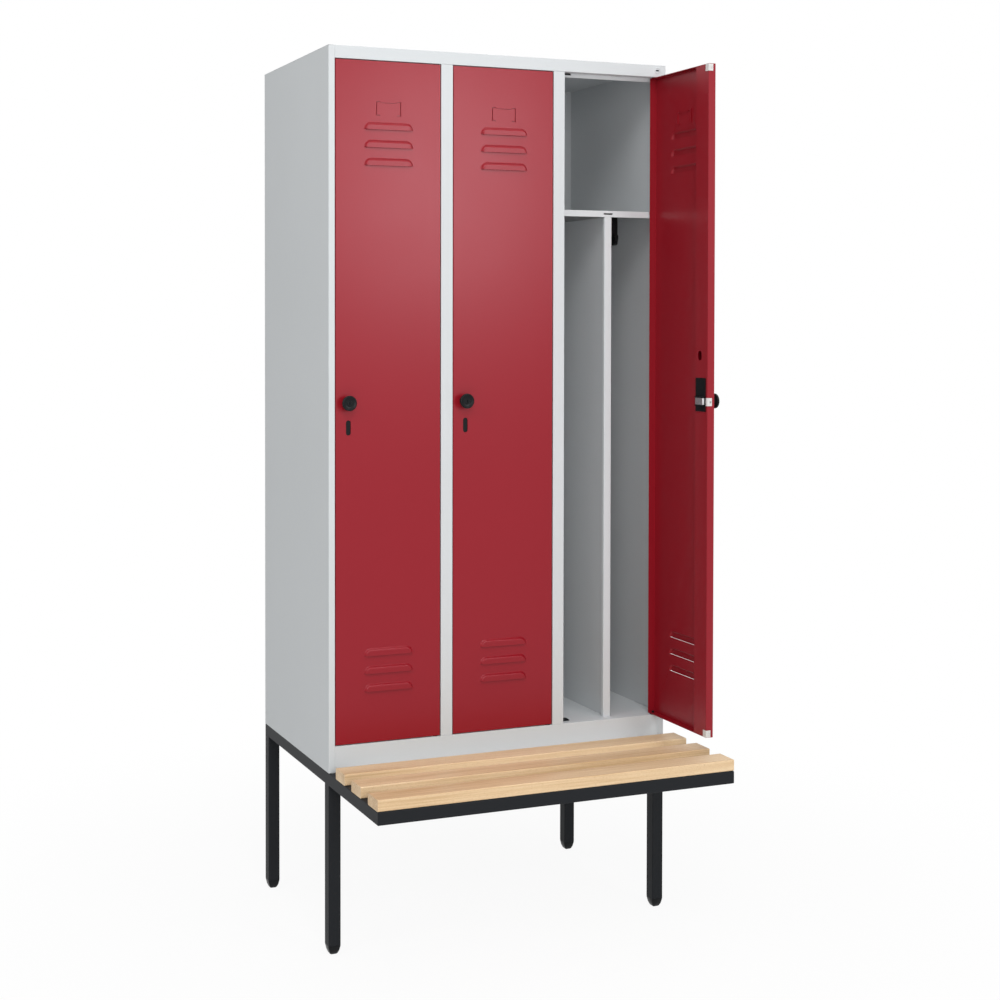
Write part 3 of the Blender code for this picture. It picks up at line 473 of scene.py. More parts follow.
FINISHES = {
    Slot.BODY: PowderCoat("light_grey_paint", (0.60, 0.625, 0.638, 1), roughness=0.50, specular=0.22),
    Slot.DOOR: PowderCoat(
        "ruby_red_paint",
        (0.262, 0.0066, 0.0140, 1),
        roughness=0.285,
        specular=0.40,
        gloss_tint=(1, 0.72, 0.78, 1),
        peel_depth=0.00002,
    ),
    Slot.FRAME: PowderCoat(
        "black_grey_paint",
        (0.0155, 0.017, 0.0195, 1),
        roughness=0.5,
        specular=0.10,
        peel_depth=0.00005,
    ),
    Slot.WOOD: Beech(
        "lacquered_beech",
        colors=((0.80, 0.60, 0.375, 1), (0.71, 0.505, 0.295, 1), (0.58, 0.385, 0.20, 1)),
        fleck=(0.44, 0.26, 0.125, 1),
    ),
    Slot.BLACK: MouldedPlastic("black_moulding", (0.007, 0.008, 0.009, 1), roughness=0.30, specular=0.13),
    Slot.WHITE: MouldedPlastic("white_moulding", (0.64, 0.63, 0.62, 1), roughness=0.38, specular=0.3),
    Slot.ZINC: ZincPlate("zinc_plate", (0.66, 0.66, 0.67, 1), roughness=0.3),
}


def arc(centre: Point, radius: float, start: float, end: float, steps: int) -> list[Point]:
    """Draw an arc.

    Args:
        centre: The arc's centre.
        radius: Its radius.
        start: The first angle, in degrees.
        end: The last angle, in degrees.
        steps: How many runs it has.

    Returns:
        Its points in order, both ends included.
    """
    angles = [math.radians(start + (end - start) * step / steps) for step in range(steps + 1)]
    return [(centre[0] + radius * math.cos(a), centre[1] + radius * math.sin(a)) for a in angles]


def circle(centre: Point, radius: float) -> list[Point]:
    """Return the closed outline of a small circle."""
    return arc(centre, radius, 0, 360, SMALL_STEPS)[:-1]


def rounded_box(
    centre: Point, size: Point, steps: int = 6, share: float = NEARLY_ROUND
) -> list[Point]:
    """Draw a rectangle with round corners.

    Args:
        centre: Its middle.
        size: Its width and height.
        steps: Runs in each corner.
        share: The corners' radius, as a share of half its shorter side.

    Returns:
        Its closed outline.
    """
    radius = min(size) / 2 * share
    across, up = size[0] / 2 - radius, size[1] / 2 - radius
    outline: list[Point] = []
    for corner, (right, above) in enumerate(((-1, -1), (1, -1), (1, 1), (-1, 1))):
        middle = (centre[0] + right * across, centre[1] + above * up)
        outline += arc(middle, radius, 180 + 90 * corner, 270 + 90 * corner, steps)
    return outline


def ring(bm: BMesh, outline: Sequence[Point], level: float, axis: int = 1) -> list[BMVert]:
    """Put the corners of an outline in a plane square to an axis.

    Args:
        bm: The mesh that they go into.
        outline: The corners, in the two other axes.
        level: Their place along the axis.
        axis: The axis, 0 for X to 2 for Z.

    Returns:
        The new vertices.
    """
    verts = []
    for point in outline:
        place = list(point)
        place.insert(axis, level)
        verts.append(bm.verts.new(place))
    return verts


def band(bm: BMesh, lower: Sequence[BMVert], upper: Sequence[BMVert], closed: bool = False) -> None:
    """Join two rows of vertices with faces.

    Args:
        bm: The mesh that they are in.
        lower: One row.
        upper: The other row.
        closed: Whether the faces go on from the last vertices to the first.
    """
    if closed:
        lower, upper = [*lower, lower[0]], [*upper, upper[0]]
    for corners in zip(lower, lower[1:], upper[1:], upper):
        bm.faces.new(corners)


def inside(point: Vector, outline: Sequence[Vector]) -> bool:
    """Say whether a point of a plane lies within a closed outline.

    Args:
        point: The point.
        outline: The outline's corners.

    Returns:
        True if it does.
    """
    crossed = False
    for start, end in zip(outline, [*outline[1:], outline[0]]):
        if (start.y > point.y) != (end.y > point.y):
            share = (point.y - start.y) / (end.y - start.y)
            crossed ^= point.x < start.x + share * (end.x - start.x)
    return crossed


def fill(bm: BMesh, rims: Sequence[Sequence[BMVert]], axis: int) -> None:
    """Fill the first of several flat rims, and leave the others as holes in it.

    Args:
        bm: The mesh that they are in.
        rims: The vertices of each closed rim.
        axis: The axis that they are square to.
    """
    verts = [vert for rim in rims for vert in rim]
    flat = [Vector([part for k, part in enumerate(vert.co) if k != axis]) for vert in verts]
    faces, first = [], 0
    for rim in rims:
        faces.append(list(range(first, first + len(rim))))
        first += len(rim)
    outer, *holes = [[flat[k] for k in face] for face in faces]
    places, _, triangles, sources, _, _ = delaunay_2d_cdt(
        flat, [], faces, FILL_INSIDE, FILL_TOLERANCE, True
    )
    for triangle in triangles:
        middle = sum((places[k] for k in triangle), Vector((0, 0))) / len(triangle)
        if inside(middle, outer) and not any(inside(middle, hole) for hole in holes):
            bm.faces.new([verts[sources[k][0]] for k in triangle])


def prism(outline: Sequence[Point], low: float, high: float, axis: int = 1) -> BMesh:
    """Draw a closed prism.

    Args:
        outline: Its outline.
        low: Where it starts along the axis.
        high: Where it ends.
        axis: The axis, 0 for X to 2 for Z.

    Returns:
        The prism.
    """
    bm = bmesh.new()
    lower, upper = ring(bm, outline, low, axis), ring(bm, outline, high, axis)
    band(bm, lower, upper, closed=True)
    bm.faces.new(lower)
    bm.faces.new(upper)
    bmesh.ops.recalc_face_normals(bm, faces=bm.faces[:])
    return bm


def turned(profile: Sequence[Point], centre: Vector = ORIGIN, steps: int = ROUND_STEPS) -> BMesh:
    """Spin a profile round an axis along Y.

    Args:
        profile: Radius and place along Y of each point.
        centre: Where the axis is.
        steps: Runs in a full turn.

    Returns:
        The turned body.
    """
    bm = bmesh.new()
    verts = [bm.verts.new(centre + Vector((radius, level, 0))) for radius, level in profile]
    edges = [bm.edges.new(pair) for pair in zip(verts, verts[1:])]
    bmesh.ops.spin(
        bm, geom=verts + edges, cent=centre, axis=(0, 1, 0), angle=2 * math.pi, steps=steps
    )
    bmesh.ops.remove_doubles(bm, verts=bm.verts[:], dist=MERGE_DISTANCE)
    bmesh.ops.recalc_face_normals(bm, faces=bm.faces[:])
    return bm


def upright(profile: Sequence[Point], node: str) -> BMesh:
    """Spin a profile round the upright middle of a CAD node.

    Args:
        profile: Radius and height of each point.
        node: The node.

    Returns:
        The turned body.
    """
    body = turned(profile, steps=SMALL_STEPS)
    middle = sum(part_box(node), ORIGIN) / 2
    place = Matrix.Translation((middle.x, middle.y, 0))
    body.transform(place @ Matrix.Rotation(QUARTER_TURN, 4, "X"))
    return body


def face_out(bm: BMesh, way: Vector) -> None:
    """Turn the faces of an open sheet so that the largest one across a way looks along it.

    Args:
        bm: The sheet.
        way: The way out, of length one.
    """
    bmesh.ops.recalc_face_normals(bm, faces=bm.faces[:])
    main = max(bm.faces, key=lambda face: face.calc_area() * abs(face.normal.dot(way)))
    if main.normal.dot(way) < 0:
        bmesh.ops.reverse_faces(bm, faces=bm.faces[:])


def linked(name: str, data: ID) -> Object:
    """Put a new object in the scene.

    Args:
        name: The object's name.
        data: The mesh, lamp or camera that it holds.

    Returns:
        The object.
    """
    made = bpy.data.objects.new(name, data)
    bpy.context.scene.collection.objects.link(made)
    return made


def smooth(mesh: Mesh) -> None:
    """Shade a mesh smooth except at its sharp edges."""
    mesh.shade_smooth()
    mesh.set_sharp_from_angle(angle=SMOOTH_ANGLE)


def object_of(name: str, bm: BMesh) -> Object:
    """Turn a bmesh into an object in the scene, smooth except at its sharp edges.

    Args:
        name: The object's name.
        bm: The bmesh, used up.

    Returns:
        The object.
    """
    mesh = bpy.data.meshes.new(name)
    bm.to_mesh(mesh)
    bm.free()
    smooth(mesh)
    return linked(name, mesh)


def line_mesh(name: str, runs: Sequence[tuple[Vector, Vector]]) -> Object:
    """Draw straight runs of edge, for a group that follows them.

    Args:
        name: The object's name.
        runs: Both ends of each run.

    Returns:
        The object.
    """
    bm = bmesh.new()
    for start, end in runs:
        bm.edges.new((bm.verts.new(start), bm.verts.new(end)))
    return object_of(name, bm)


def settle(obj: Object) -> Object:
    """Give an object the mesh that it has after its modifiers, and take the modifiers off.

    Args:
        obj: The object.

    Returns:
        The same object.
    """
    bpy.context.view_layer.update()
    graph = bpy.context.evaluated_depsgraph_get()
    mesh = bpy.data.meshes.new_from_object(obj.evaluated_get(graph))
    mesh.name = obj.name
    obj.modifiers.clear()
    obj.data = mesh
    return obj


def mesh_of(obj: Object) -> Mesh:
    """Keep an object's mesh alone.

    Args:
        obj: The object, which is removed.

    Returns:
        The mesh.
    """
    mesh = obj.data
    bpy.data.objects.remove(obj)
    return mesh


def edit(obj: Object, change: Callable[[BMesh], None]) -> None:
    """Change an object's mesh by way of a bmesh.

    Args:
        obj: The object.
        change: What is done to the bmesh.
    """
    bm = bmesh.new()
    bm.from_mesh(obj.data)
    change(bm)
    bm.to_mesh(obj.data)
    bm.free()


def keep_flat_faces(obj: Object) -> Object:
    """Smooth a piece afresh, but end the smoothing at sharp edges and where a flat face begins.

    Args:
        obj: The piece.

    Returns:
        The same piece.
    """

    def mark(bm: BMesh) -> None:
        """Mark the edges that stay sharp.

        Args:
            bm: The piece.
        """
        for edge in bm.edges:
            square = {max(map(abs, face.normal)) > FLAT_COSINE for face in edge.link_faces}
            edge.smooth = len(square) == 1 and edge.calc_face_angle(math.pi) < SMOOTH_ANGLE

    imported = obj.data.attributes.get("custom_normal")
    if imported:
        obj.data.attributes.remove(imported)
    obj.data.shade_smooth()
    edit(obj, mark)
    return obj


def round_edges(obj: Object, radius: float, segments: int = 3, least: float = 0.0) -> Object:
    """Round the outer edges of a piece that stand at a right angle and have room beside them.

    Args:
        obj: The piece, a merged mesh.
        radius: The radius of the rounding.
        segments: Faces across each rounding.
        least: Length that an edge must have to be rounded.

    Returns:
        The same piece.
    """

    def weigh(bm: BMesh) -> None:
        """Give the edges that are rounded their weight.

        Args:
            bm: The piece.
        """
        layer = bm.edges.layers.float.new("bevel_weight_edge")
        for edge in bm.edges:
            if len(edge.link_faces) != 2 or not edge.is_convex or edge.calc_length() < least:
                continue
            if abs(edge.calc_face_angle() - QUARTER_TURN) > SMOOTH_ANGLE:
                continue
            room = min(2 * face.calc_area() / face.calc_perimeter() for face in edge.link_faces)
            edge[layer] = 1.0 if room > ROOM_FOR_ROUNDING * radius else 0.0

    edit(obj, weigh)
    bevel = obj.modifiers.new("rounding", "BEVEL")
    bevel.limit_method = "WEIGHT"
    bevel.width = radius
    bevel.segments = segments
    bevel.use_clamp_overlap = True
    return settle(obj)


def thicken(obj: Object, sheet: float) -> Object:
    """Give an open skin the thickness of its sheet, on its inner side.

    Args:
        obj: The skin, its faces outwards.
        sheet: The thickness.

    Returns:
        The same object.
    """
    wall = obj.modifiers.new("sheet", "SOLIDIFY")
    wall.thickness = sheet
    wall.offset = -1
    wall.use_even_offset = True
    return keep_flat_faces(settle(obj))


@dataclass
class Workshop:
    """Keeps the finishes, and puts each finished piece on its body."""

    finishes: dict[Slot, Material]
    nodes: dict[str, Object]
    body_of: dict[str, str]

    def add(self, obj: Object, body: str, slot: Slot, replaced: Sequence[str] = ()) -> None:
        """Give a piece its finish and its body.

        Args:
            obj: The piece, in place.
            body: The CAD body that it moves with.
            slot: The slot that its finish comes from.
            replaced: The CAD nodes that it stands for.
        """
        obj.data.materials.clear()
        obj.data.materials.append(self.finishes[slot])
        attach(obj, body)
        if replaced:
            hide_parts(*replaced)
        LOG.info("%s on %s in %s, %d faces", obj.name, body, slot.value, len(obj.data.polygons))

    def rounded(
        self, node: str, slot: Slot, radius: float, segments: int = 3, least: float = 0.0
    ) -> None:
        """Stand a copy of a CAD node with rounded edges in its place.

        Args:
            node: The node.
            slot: The slot of its finish.
            radius: The radius of its edges.
            segments: Faces across each rounding.
            least: Length that an edge must have to be rounded.
        """
        bm = bmesh.new()
        bm.from_mesh(self.nodes[node].data)
        bmesh.ops.remove_doubles(bm, verts=bm.verts[:], dist=MERGE_DISTANCE)
        bmesh.ops.dissolve_limit(bm, angle_limit=FLAT_ANGLE, verts=bm.verts[:], edges=bm.edges[:])
        made = round_edges(object_of(f"{node}_rounded", bm), radius, segments, least)
        self.add(keep_flat_faces(made), self.body_of[node], slot, [node])

    def repaint(self, node: str, slot: Slot) -> None:
        """Give a CAD node that stays in view the finish of its slot.

        Args:
            node: The node.
            slot: The slot.
        """
        obj = self.nodes[node]
        for each in obj.material_slots:
            each.material = self.finishes[slot]
        LOG.info("%s keeps its CAD shape in %s", node, slot.value)


@dataclass
class Assembly:
    """A group of pieces, and the workshop that they are finished in."""

    shop: Workshop


class GeometryTree(Graph):
    """A Geometry Nodes group with named inputs, run on an object to leave a plain mesh."""

    def __init__(self, name: str) -> None:
        """Start a group.

        Args:
            name: Its name.
        """
        super().__init__(bpy.data.node_groups.new(name, "GeometryNodeTree"))
        self.identifiers: dict[str, str] = {}
        self.inlet = self.tree.nodes.new("NodeGroupInput")
        (self.source,) = self.inputs(Kind.GEOMETRY, "Geometry")

    def inputs(self, kind: Kind, *names: str) -> list[Wire]:
        """Add named inputs of one type.

        Args:
            kind: Their type.
            names: Their names.

        Returns:
            The outputs of the group's input node that give them.
        """
        for name in names:
            item = self.tree.interface.new_socket(name=name, in_out="INPUT", socket_type=kind.value)
            self.identifiers[name] = item.identifier
        return [Wire(self, self.inlet.outputs[name]) for name in names]

    def end(self, geometry: Wire) -> None:
        """Close the group: its instances made real, and its material set.

        Args:
            geometry: What the group has made.
        """
        self.tree.interface.new_socket(
            name="Geometry", in_out="OUTPUT", socket_type=Kind.GEOMETRY.value
        )
        (material,) = self.inputs(Kind.MATERIAL, "Material")
        dressed = {"Geometry": self.real(geometry), "Material": material}
        outlet = self.tree.nodes.new("NodeGroupOutput")
        self.feed(outlet.inputs[0], self.add("GeometryNodeSetMaterial", dressed))

    def real(self, geometry: Wire) -> Wire:
        """Return a geometry with its instances made real."""
        return self.add("GeometryNodeRealizeInstances", {"Geometry": geometry})

    def joined(self, *parts: Wire) -> Wire:
        """Join several geometries.

        Args:
            parts: The geometries.

        Returns:
            All of them as one.
        """
        result = self.add("GeometryNodeJoinGeometry")
        for part in parts:
            self.feed(result.socket.node.inputs[0], part)
        return result

    def line(self, count: Wire, start: Value, step: Wire) -> Wire:
        """Return a mesh line: so many points, from the first one, each a step on."""
        return self.add("GeometryNodeMeshLine", {"Count": count, "Start Location": start, "Offset": step})

    def curve(self) -> Wire:
        """Return the object's own edges as a curve."""
        return self.add("GeometryNodeMeshToCurve", {"Mesh": self.source})

    def copies(self, points: Wire, shape: Wire, scale: Value = (1.0, 1.0, 1.0)) -> Wire:
        """Return a shape's copies on points."""
        inputs = {"Points": points, "Instance": shape, "Scale": scale}
        return self.add("GeometryNodeInstanceOnPoints", inputs)

    def run(self, obj: Object, paint: Material, **values: Value) -> Object:
        """Run the group on an object and leave the result as its plain mesh.

        Args:
            obj: The object whose mesh is the group's geometry.
            paint: The finish that the group sets.
            values: A value for each named input, with underscores for the name's spaces.

        Returns:
            The same object.
        """
        modifier = obj.modifiers.new(self.tree.name, "NODES")
        modifier.node_group = self.tree
        for name, value in {**values, "Material": paint}.items():
            modifier[self.identifiers[name.replace("_", " ")]] = value
        return settle(obj)


class Rows(GeometryTree):
    """Copies of the object's own mesh in rows and columns."""

    def __init__(self) -> None:
        """Build the group."""
        super().__init__("rows_of_one_piece")
        columns, rows = self.inputs(Kind.COUNT, "columns", "rows")
        start, across, along = self.inputs(Kind.VECTOR, "start", "column step", "row step")
        first = self.line(columns, start, across)
        column = self.line(rows, (0.0, 0.0, 0.0), along)
        self.end(self.copies(self.real(self.copies(first, column)), self.source))


class WeldBeads(GeometryTree):
    """Ripples of a weld seam along the object's own edges."""

    SMALLEST = 0.85
    LARGEST = 1.15

    def __init__(self) -> None:
        """Build the group."""
        super().__init__("weld_beads_on_a_seam")
        pitch, radius = self.inputs(Kind.NUMBER, "ripple pitch", "bead radius")
        (seed,) = self.inputs(Kind.COUNT, "seed")
        dots = self.add(
            "GeometryNodeResampleCurve", {"Curve": self.curve(), "Length": pitch}, mode="LENGTH"
        )
        ripple = self.add("GeometryNodeMeshIcoSphere", {"Subdivisions": 2, "Radius": radius}, "Mesh")
        limits = {RANDOM_LEAST: self.SMALLEST, RANDOM_MOST: self.LARGEST, "Seed": seed}
        size = self.add("FunctionNodeRandomValue", limits, RANDOM_RESULT, data_type="FLOAT")
        self.end(self.copies(dots, ripple, size))


class PressedLouvres(GeometryTree):
    """Hoods pressed out of a leaf's face, joined to the rims of its slots.

    A hood is a grid: its columns follow the slot's outline from the right foot to the left one, and
    its rows climb the pressed slope and then run down the hood's flat front to the open mouth.
    """

    ARC_COLUMNS = 9
    SLOPE_ROWS = 7
    FRONT_ROWS = 4

    def __init__(self) -> None:
        """Build the group."""
        super().__init__("pressed_louvres")
        self.width, self.height, self.rise, self.slope, self.face, self.tilt, self.drop = self.inputs(
            Kind.NUMBER, "width", "height", "rise", "slope run", "face level", "lip tilt", "lip drop"
        )
        (count,) = self.inputs(Kind.COUNT, "count")
        upper, lower, down, up = self.inputs(
            Kind.VECTOR, "highest louvre", "lowest louvre", "step down", "step up"
        )
        points = self.joined(self.line(count, upper, down), self.line(count, lower, up))
        pressed = self.joined(self.source, self.real(self.copies(points, self.hood())))
        merged = {"Geometry": pressed, "Distance": MERGE_DISTANCE}
        self.end(self.add("GeometryNodeMergeByDistance", merged))

    def hood(self) -> Wire:
        """Shape one hood.

        Returns:
            The hood, its foot's middle at the origin of X and Z.
        """
        columns, rows = 2 * self.ARC_COLUMNS, self.SLOPE_ROWS + self.FRONT_ROWS
        size = {"Size X": columns - 1, "Size Y": rows - 1, "Vertices X": columns, "Vertices Y": rows}
        x, y, _ = self.parts(self.add("GeometryNodeInputPosition"))
        from_end = (columns - 1) / 2 - self.math("ABSOLUTE", x)
        angle = from_end * (QUARTER_TURN / (self.ARC_COLUMNS - 1))
        row = y + (rows - 1) / 2
        climb = self.math("DIVIDE", row, self.SLOPE_ROWS - 1, clamp=True)
        fall = self.math("DIVIDE", row - (self.SLOPE_ROWS - 1), self.FRONT_ROWS, clamp=True)
        radius = self.height - self.slope * climb
        reach = self.width * 0.5 - self.height + radius * self.math("COSINE", angle)
        up = radius * self.math("SINE", angle) * (1.0 - fall) - self.drop * fall
        out = self.rise * self.spread(climb, (0, 1), (0, 1), "SMOOTHSTEP") - self.tilt * fall
        shaped = {
            "Geometry": self.add("GeometryNodeMeshGrid", size, "Mesh"),
            "Position": self.combined(self.math("SIGN", x) * reach, self.face - out, up),
        }
        return self.add("GeometryNodeSetPosition", shaped)


class Planks(GeometryTree):
    """A plank swept along X from a rounded section."""

    CORNER_STEPS = 4

    def __init__(self) -> None:
        """Build the group."""
        super().__init__("plank_of_rounded_section")
        width, thickness, rounding = self.inputs(Kind.NUMBER, "width", "thickness", "rounding")
        section = self.add(
            "GeometryNodeCurvePrimitiveQuadrilateral", {"Width": width, "Height": thickness}
        )
        corners = {"Curve": section, "Count": self.CORNER_STEPS, "Radius": rounding}
        soft = self.add("GeometryNodeFilletCurve", corners, mode="POLY")
        swept = {"Curve": self.curve(), "Profile Curve": soft, "Fill Caps": True}
        self.end(self.add("GeometryNodeCurveToMesh", swept))


@dataclass
class Leaf:
    """Door leaf: one folded sheet with pressed louvres, a label pocket's marks and its lock's holes.

    Its sizes are in the door's own frame, whose origin is the hinge axis at floor level.
    """

    hinge_edge: float
    free_edge: float
    bottom: float
    top: float
    back: float
    knob: Point
    depth: float = 0.019
    sheet: float = 0.001
    bend: float = 0.0009
    bend_steps: int = 5
    louvre_width: float = 0.124
    louvre_height: float = 0.0172
    louvre_rise: float = 0.0055
    louvre_slope: float = 0.0050
    louvre_pitch: float = 0.0421
    louvre_count: int = 3
    louvre_to_head: float = 0.1596
    louvre_to_foot: float = 0.1210
    lip_tilt: float = 0.0006
    lip_drop: float = 0.0009
    spindle_radius: float = 0.0043
    pivot_radius: float = 0.0033
    oblong_size: Point = (0.012, 0.0355)
    oblong_steps: int = 8
    oblong_inset: float = 0.0318
    oblong_drop: float = 0.0585
    label_half: float = 0.0315
    label_top: float = 0.0938
    label_bottom: float = 0.1276
    label_line: float = 0.0022
    label_arm: float = 0.010
    label_depth: float = 0.0026
    label_step: float = 0.003

    @property
    def face(self) -> float:
        """Level of the leaf's front."""
        return self.back - self.depth

    @property
    def middle(self) -> float:
        """Middle of the leaf's width."""
        return (self.hinge_edge + self.free_edge) / 2

    @property
    def louvre_ends(self) -> Point:
        """Levels of the highest and the lowest louvre's lower edge."""
        return self.top - self.louvre_to_head, self.bottom + self.louvre_to_foot

    def oblong(self, gap: float = 0.0) -> list[Point]:
        """Draw the oblong opening below the knob.

        Args:
            gap: How much smaller it is drawn all round.

        Returns:
            Its outline.
        """
        centre = (self.free_edge + self.oblong_inset, self.knob[1] - self.oblong_drop)
        size = (self.oblong_size[0] - 2 * gap, self.oblong_size[1] - 2 * gap)
        return rounded_box(centre, size, self.oblong_steps)

    def louvre_outline(self, level: float) -> list[Point]:
        """Draw the slot of a louvre.

        Args:
            level: Its lower edge.

        Returns:
            Its outline, from the right foot to the left one.
        """
        centre, steps = self.louvre_width / 2 - self.louvre_height, PressedLouvres.ARC_COLUMNS - 1
        right = arc((self.middle + centre, level), self.louvre_height, 0, 90, steps)
        return right + arc((self.middle - centre, level), self.louvre_height, 90, 180, steps)

    def holes(self) -> list[list[Point]]:
        """Draw what is cut through the face.

        Returns:
            The outlines of the louvres' slots, the spindle's hole and the oblong opening.
        """
        highest, lowest = self.louvre_ends
        levels = []
        for k in range(self.louvre_count):
            levels += [highest - k * self.louvre_pitch, lowest + k * self.louvre_pitch]
        slots = [self.louvre_outline(level) for level in levels]
        return [*slots, circle(self.knob, self.spindle_radius), self.oblong()]

    def label_marks(self) -> list[list[Point]]:
        """Draw the grooves round the label pocket.

        Returns:
            The outlines of two brackets and of the bar between their upper arms.
        """
        low, high = self.top - self.label_bottom, self.top - self.label_top
        line, middle = self.label_line, self.middle
        marks = []
        for side in (-1, 1):
            outer = middle + side * self.label_half
            inner, tip = outer - side * line, outer - side * self.label_arm
            outside = [(tip, high), (outer, high), (outer, low), (tip, low)]
            under, over = low + line, high - line
            marks.append([*outside, (tip, under), (inner, under), (inner, over), (tip, over)])
        reach = self.label_half - self.label_arm - line
        level, under = high - self.label_step, high - self.label_step - line / 2
        left, right = middle - reach, middle + reach
        return [*marks, [(left, under), (right, under), (right, level), (left, level)]]

    def groove(self, bm: BMesh, outline: Sequence[Point]) -> list[BMVert]:
        """Press a groove into the face.

        Args:
            bm: The leaf's skin.
            outline: The groove's outline.

        Returns:
            The vertices of its rim, for the face round it.
        """
        rim = ring(bm, outline, self.face)
        bed = ring(bm, outline, self.face + self.label_depth)
        band(bm, rim, bed, closed=True)
        bm.faces.new(bed)
        return rim

    def skin(self) -> BMesh:
        """Fold the outer skin of the leaf.

        Returns:
            Its face with the holes, its bends and its flanges.
        """
        bm = bmesh.new()
        bend, level = self.bend, self.face + self.bend
        left = arc((self.free_edge + bend, level), bend, 180, 270, self.bend_steps)
        right = arc((self.hinge_edge - bend, level), bend, 270, 360, self.bend_steps)
        profile = [(self.free_edge, self.back), *left, *right, (self.hinge_edge, self.back)]
        lower, upper = ring(bm, profile, self.bottom, 2), ring(bm, profile, self.top, 2)
        front = self.bend_steps + 2
        band(bm, lower[:front], upper[:front])
        band(bm, lower[front:], upper[front:])
        rims = [[lower[front - 1], lower[front], upper[front], upper[front - 1]]]
        rims += [ring(bm, outline, self.face) for outline in self.holes()]
        rims += [self.groove(bm, outline) for outline in self.label_marks()]
        fill(bm, rims, axis=1)
        for row, level in ((lower, self.bottom), (upper, self.top)):
            fill(bm, [row, ring(bm, circle((0.0, 0.0), self.pivot_radius), level, 2)], axis=2)
        return bm

    def mesh(self, paint: Material) -> Mesh:
        """Make the leaf.

        Args:
            paint: Its finish, which the tree of its louvres sets.

        Returns:
            The mesh, in the door's frame.
        """
        highest, lowest = self.louvre_ends
        made = PressedLouvres().run(
            object_of("leaf", self.skin()),
            paint,
            width=self.louvre_width,
            height=self.louvre_height,
            rise=self.louvre_rise,
            slope_run=self.louvre_slope,
            face_level=self.face,
            lip_tilt=self.lip_tilt,
            lip_drop=self.lip_drop,
            count=self.louvre_count,
            highest_louvre=(self.middle, 0.0, highest),
            lowest_louvre=(self.middle, 0.0, lowest),
            step_down=(0.0, 0.0, -self.louvre_pitch),
            step_up=(0.0, 0.0, self.louvre_pitch),
        )
        edit(made, lambda bm: face_out(bm, Vector((0, -1, 0))))
        return mesh_of(thicken(made, self.sheet))


@dataclass
class Knob:
    """Turning knob of a lock, with a dished face round the core that takes the key."""

    radius: float = 0.018
    reach: float = 0.022
    head: float = 0.006
    rounding: float = 0.0022
    rounding_steps: int = 5
    neck_radius: float = 0.0115
    flare: float = 0.004
    spindle_radius: float = 0.004
    spindle_depth: float = 0.019
    dish_radius: float = 0.0128
    dish_depth: float = 0.0016
    dish_wall: float = 0.0026
    core_radius: float = 0.0066
    core_proud: float = 0.0010
    key_size: Point = (0.0022, 0.009)
    key_depth: float = 0.003
    key_steps: int = 3
    key_round: float = 0.9
    seat: float = 0.0003

    def profile(self) -> list[Point]:
        """Draw the knob's outline.

        Returns:
            Radius and depth of each point, from the spindle's end to the face.
        """
        crown, under = -self.reach, self.head - self.reach
        centre, dish = self.radius - self.rounding, crown + self.dish_depth
        steps = self.rounding_steps
        return [
            (0.0, self.spindle_depth),
            (self.spindle_radius, self.spindle_depth),
            (self.spindle_radius, -self.seat),
            (self.neck_radius, -self.seat),
            (self.neck_radius, under + self.flare),
            *arc((centre, under - self.rounding), self.rounding, 90, 0, steps),
            *arc((centre, crown + self.rounding), self.rounding, 0, -90, steps),
            (self.dish_radius + self.dish_wall, crown),
            (self.dish_radius, dish),
            (self.core_radius + self.dish_depth / 2, dish),
            (self.core_radius, dish - self.core_proud),
            (0.0, dish - self.core_proud),
        ]

    def mesh(self, centre: Vector) -> Mesh:
        """Make the knob, and cut its keyhole.

        Args:
            centre: Where the spindle's axis meets the leaf's front.

        Returns:
            The mesh, in the door's frame.
        """
        made = object_of("knob", turned(self.profile(), centre))
        outline = rounded_box((centre.x, centre.z), self.key_size, self.key_steps, self.key_round)
        crown = centre.y - self.reach
        tool = object_of("keyhole", prism(outline, crown - self.key_depth, crown + self.key_depth))
        cut = made.modifiers.new("keyhole", "BOOLEAN")
        cut.operation = "DIFFERENCE"
        cut.object = tool
        mesh = mesh_of(settle(made))
        bpy.data.objects.remove(tool)
        smooth(mesh)
        return mesh


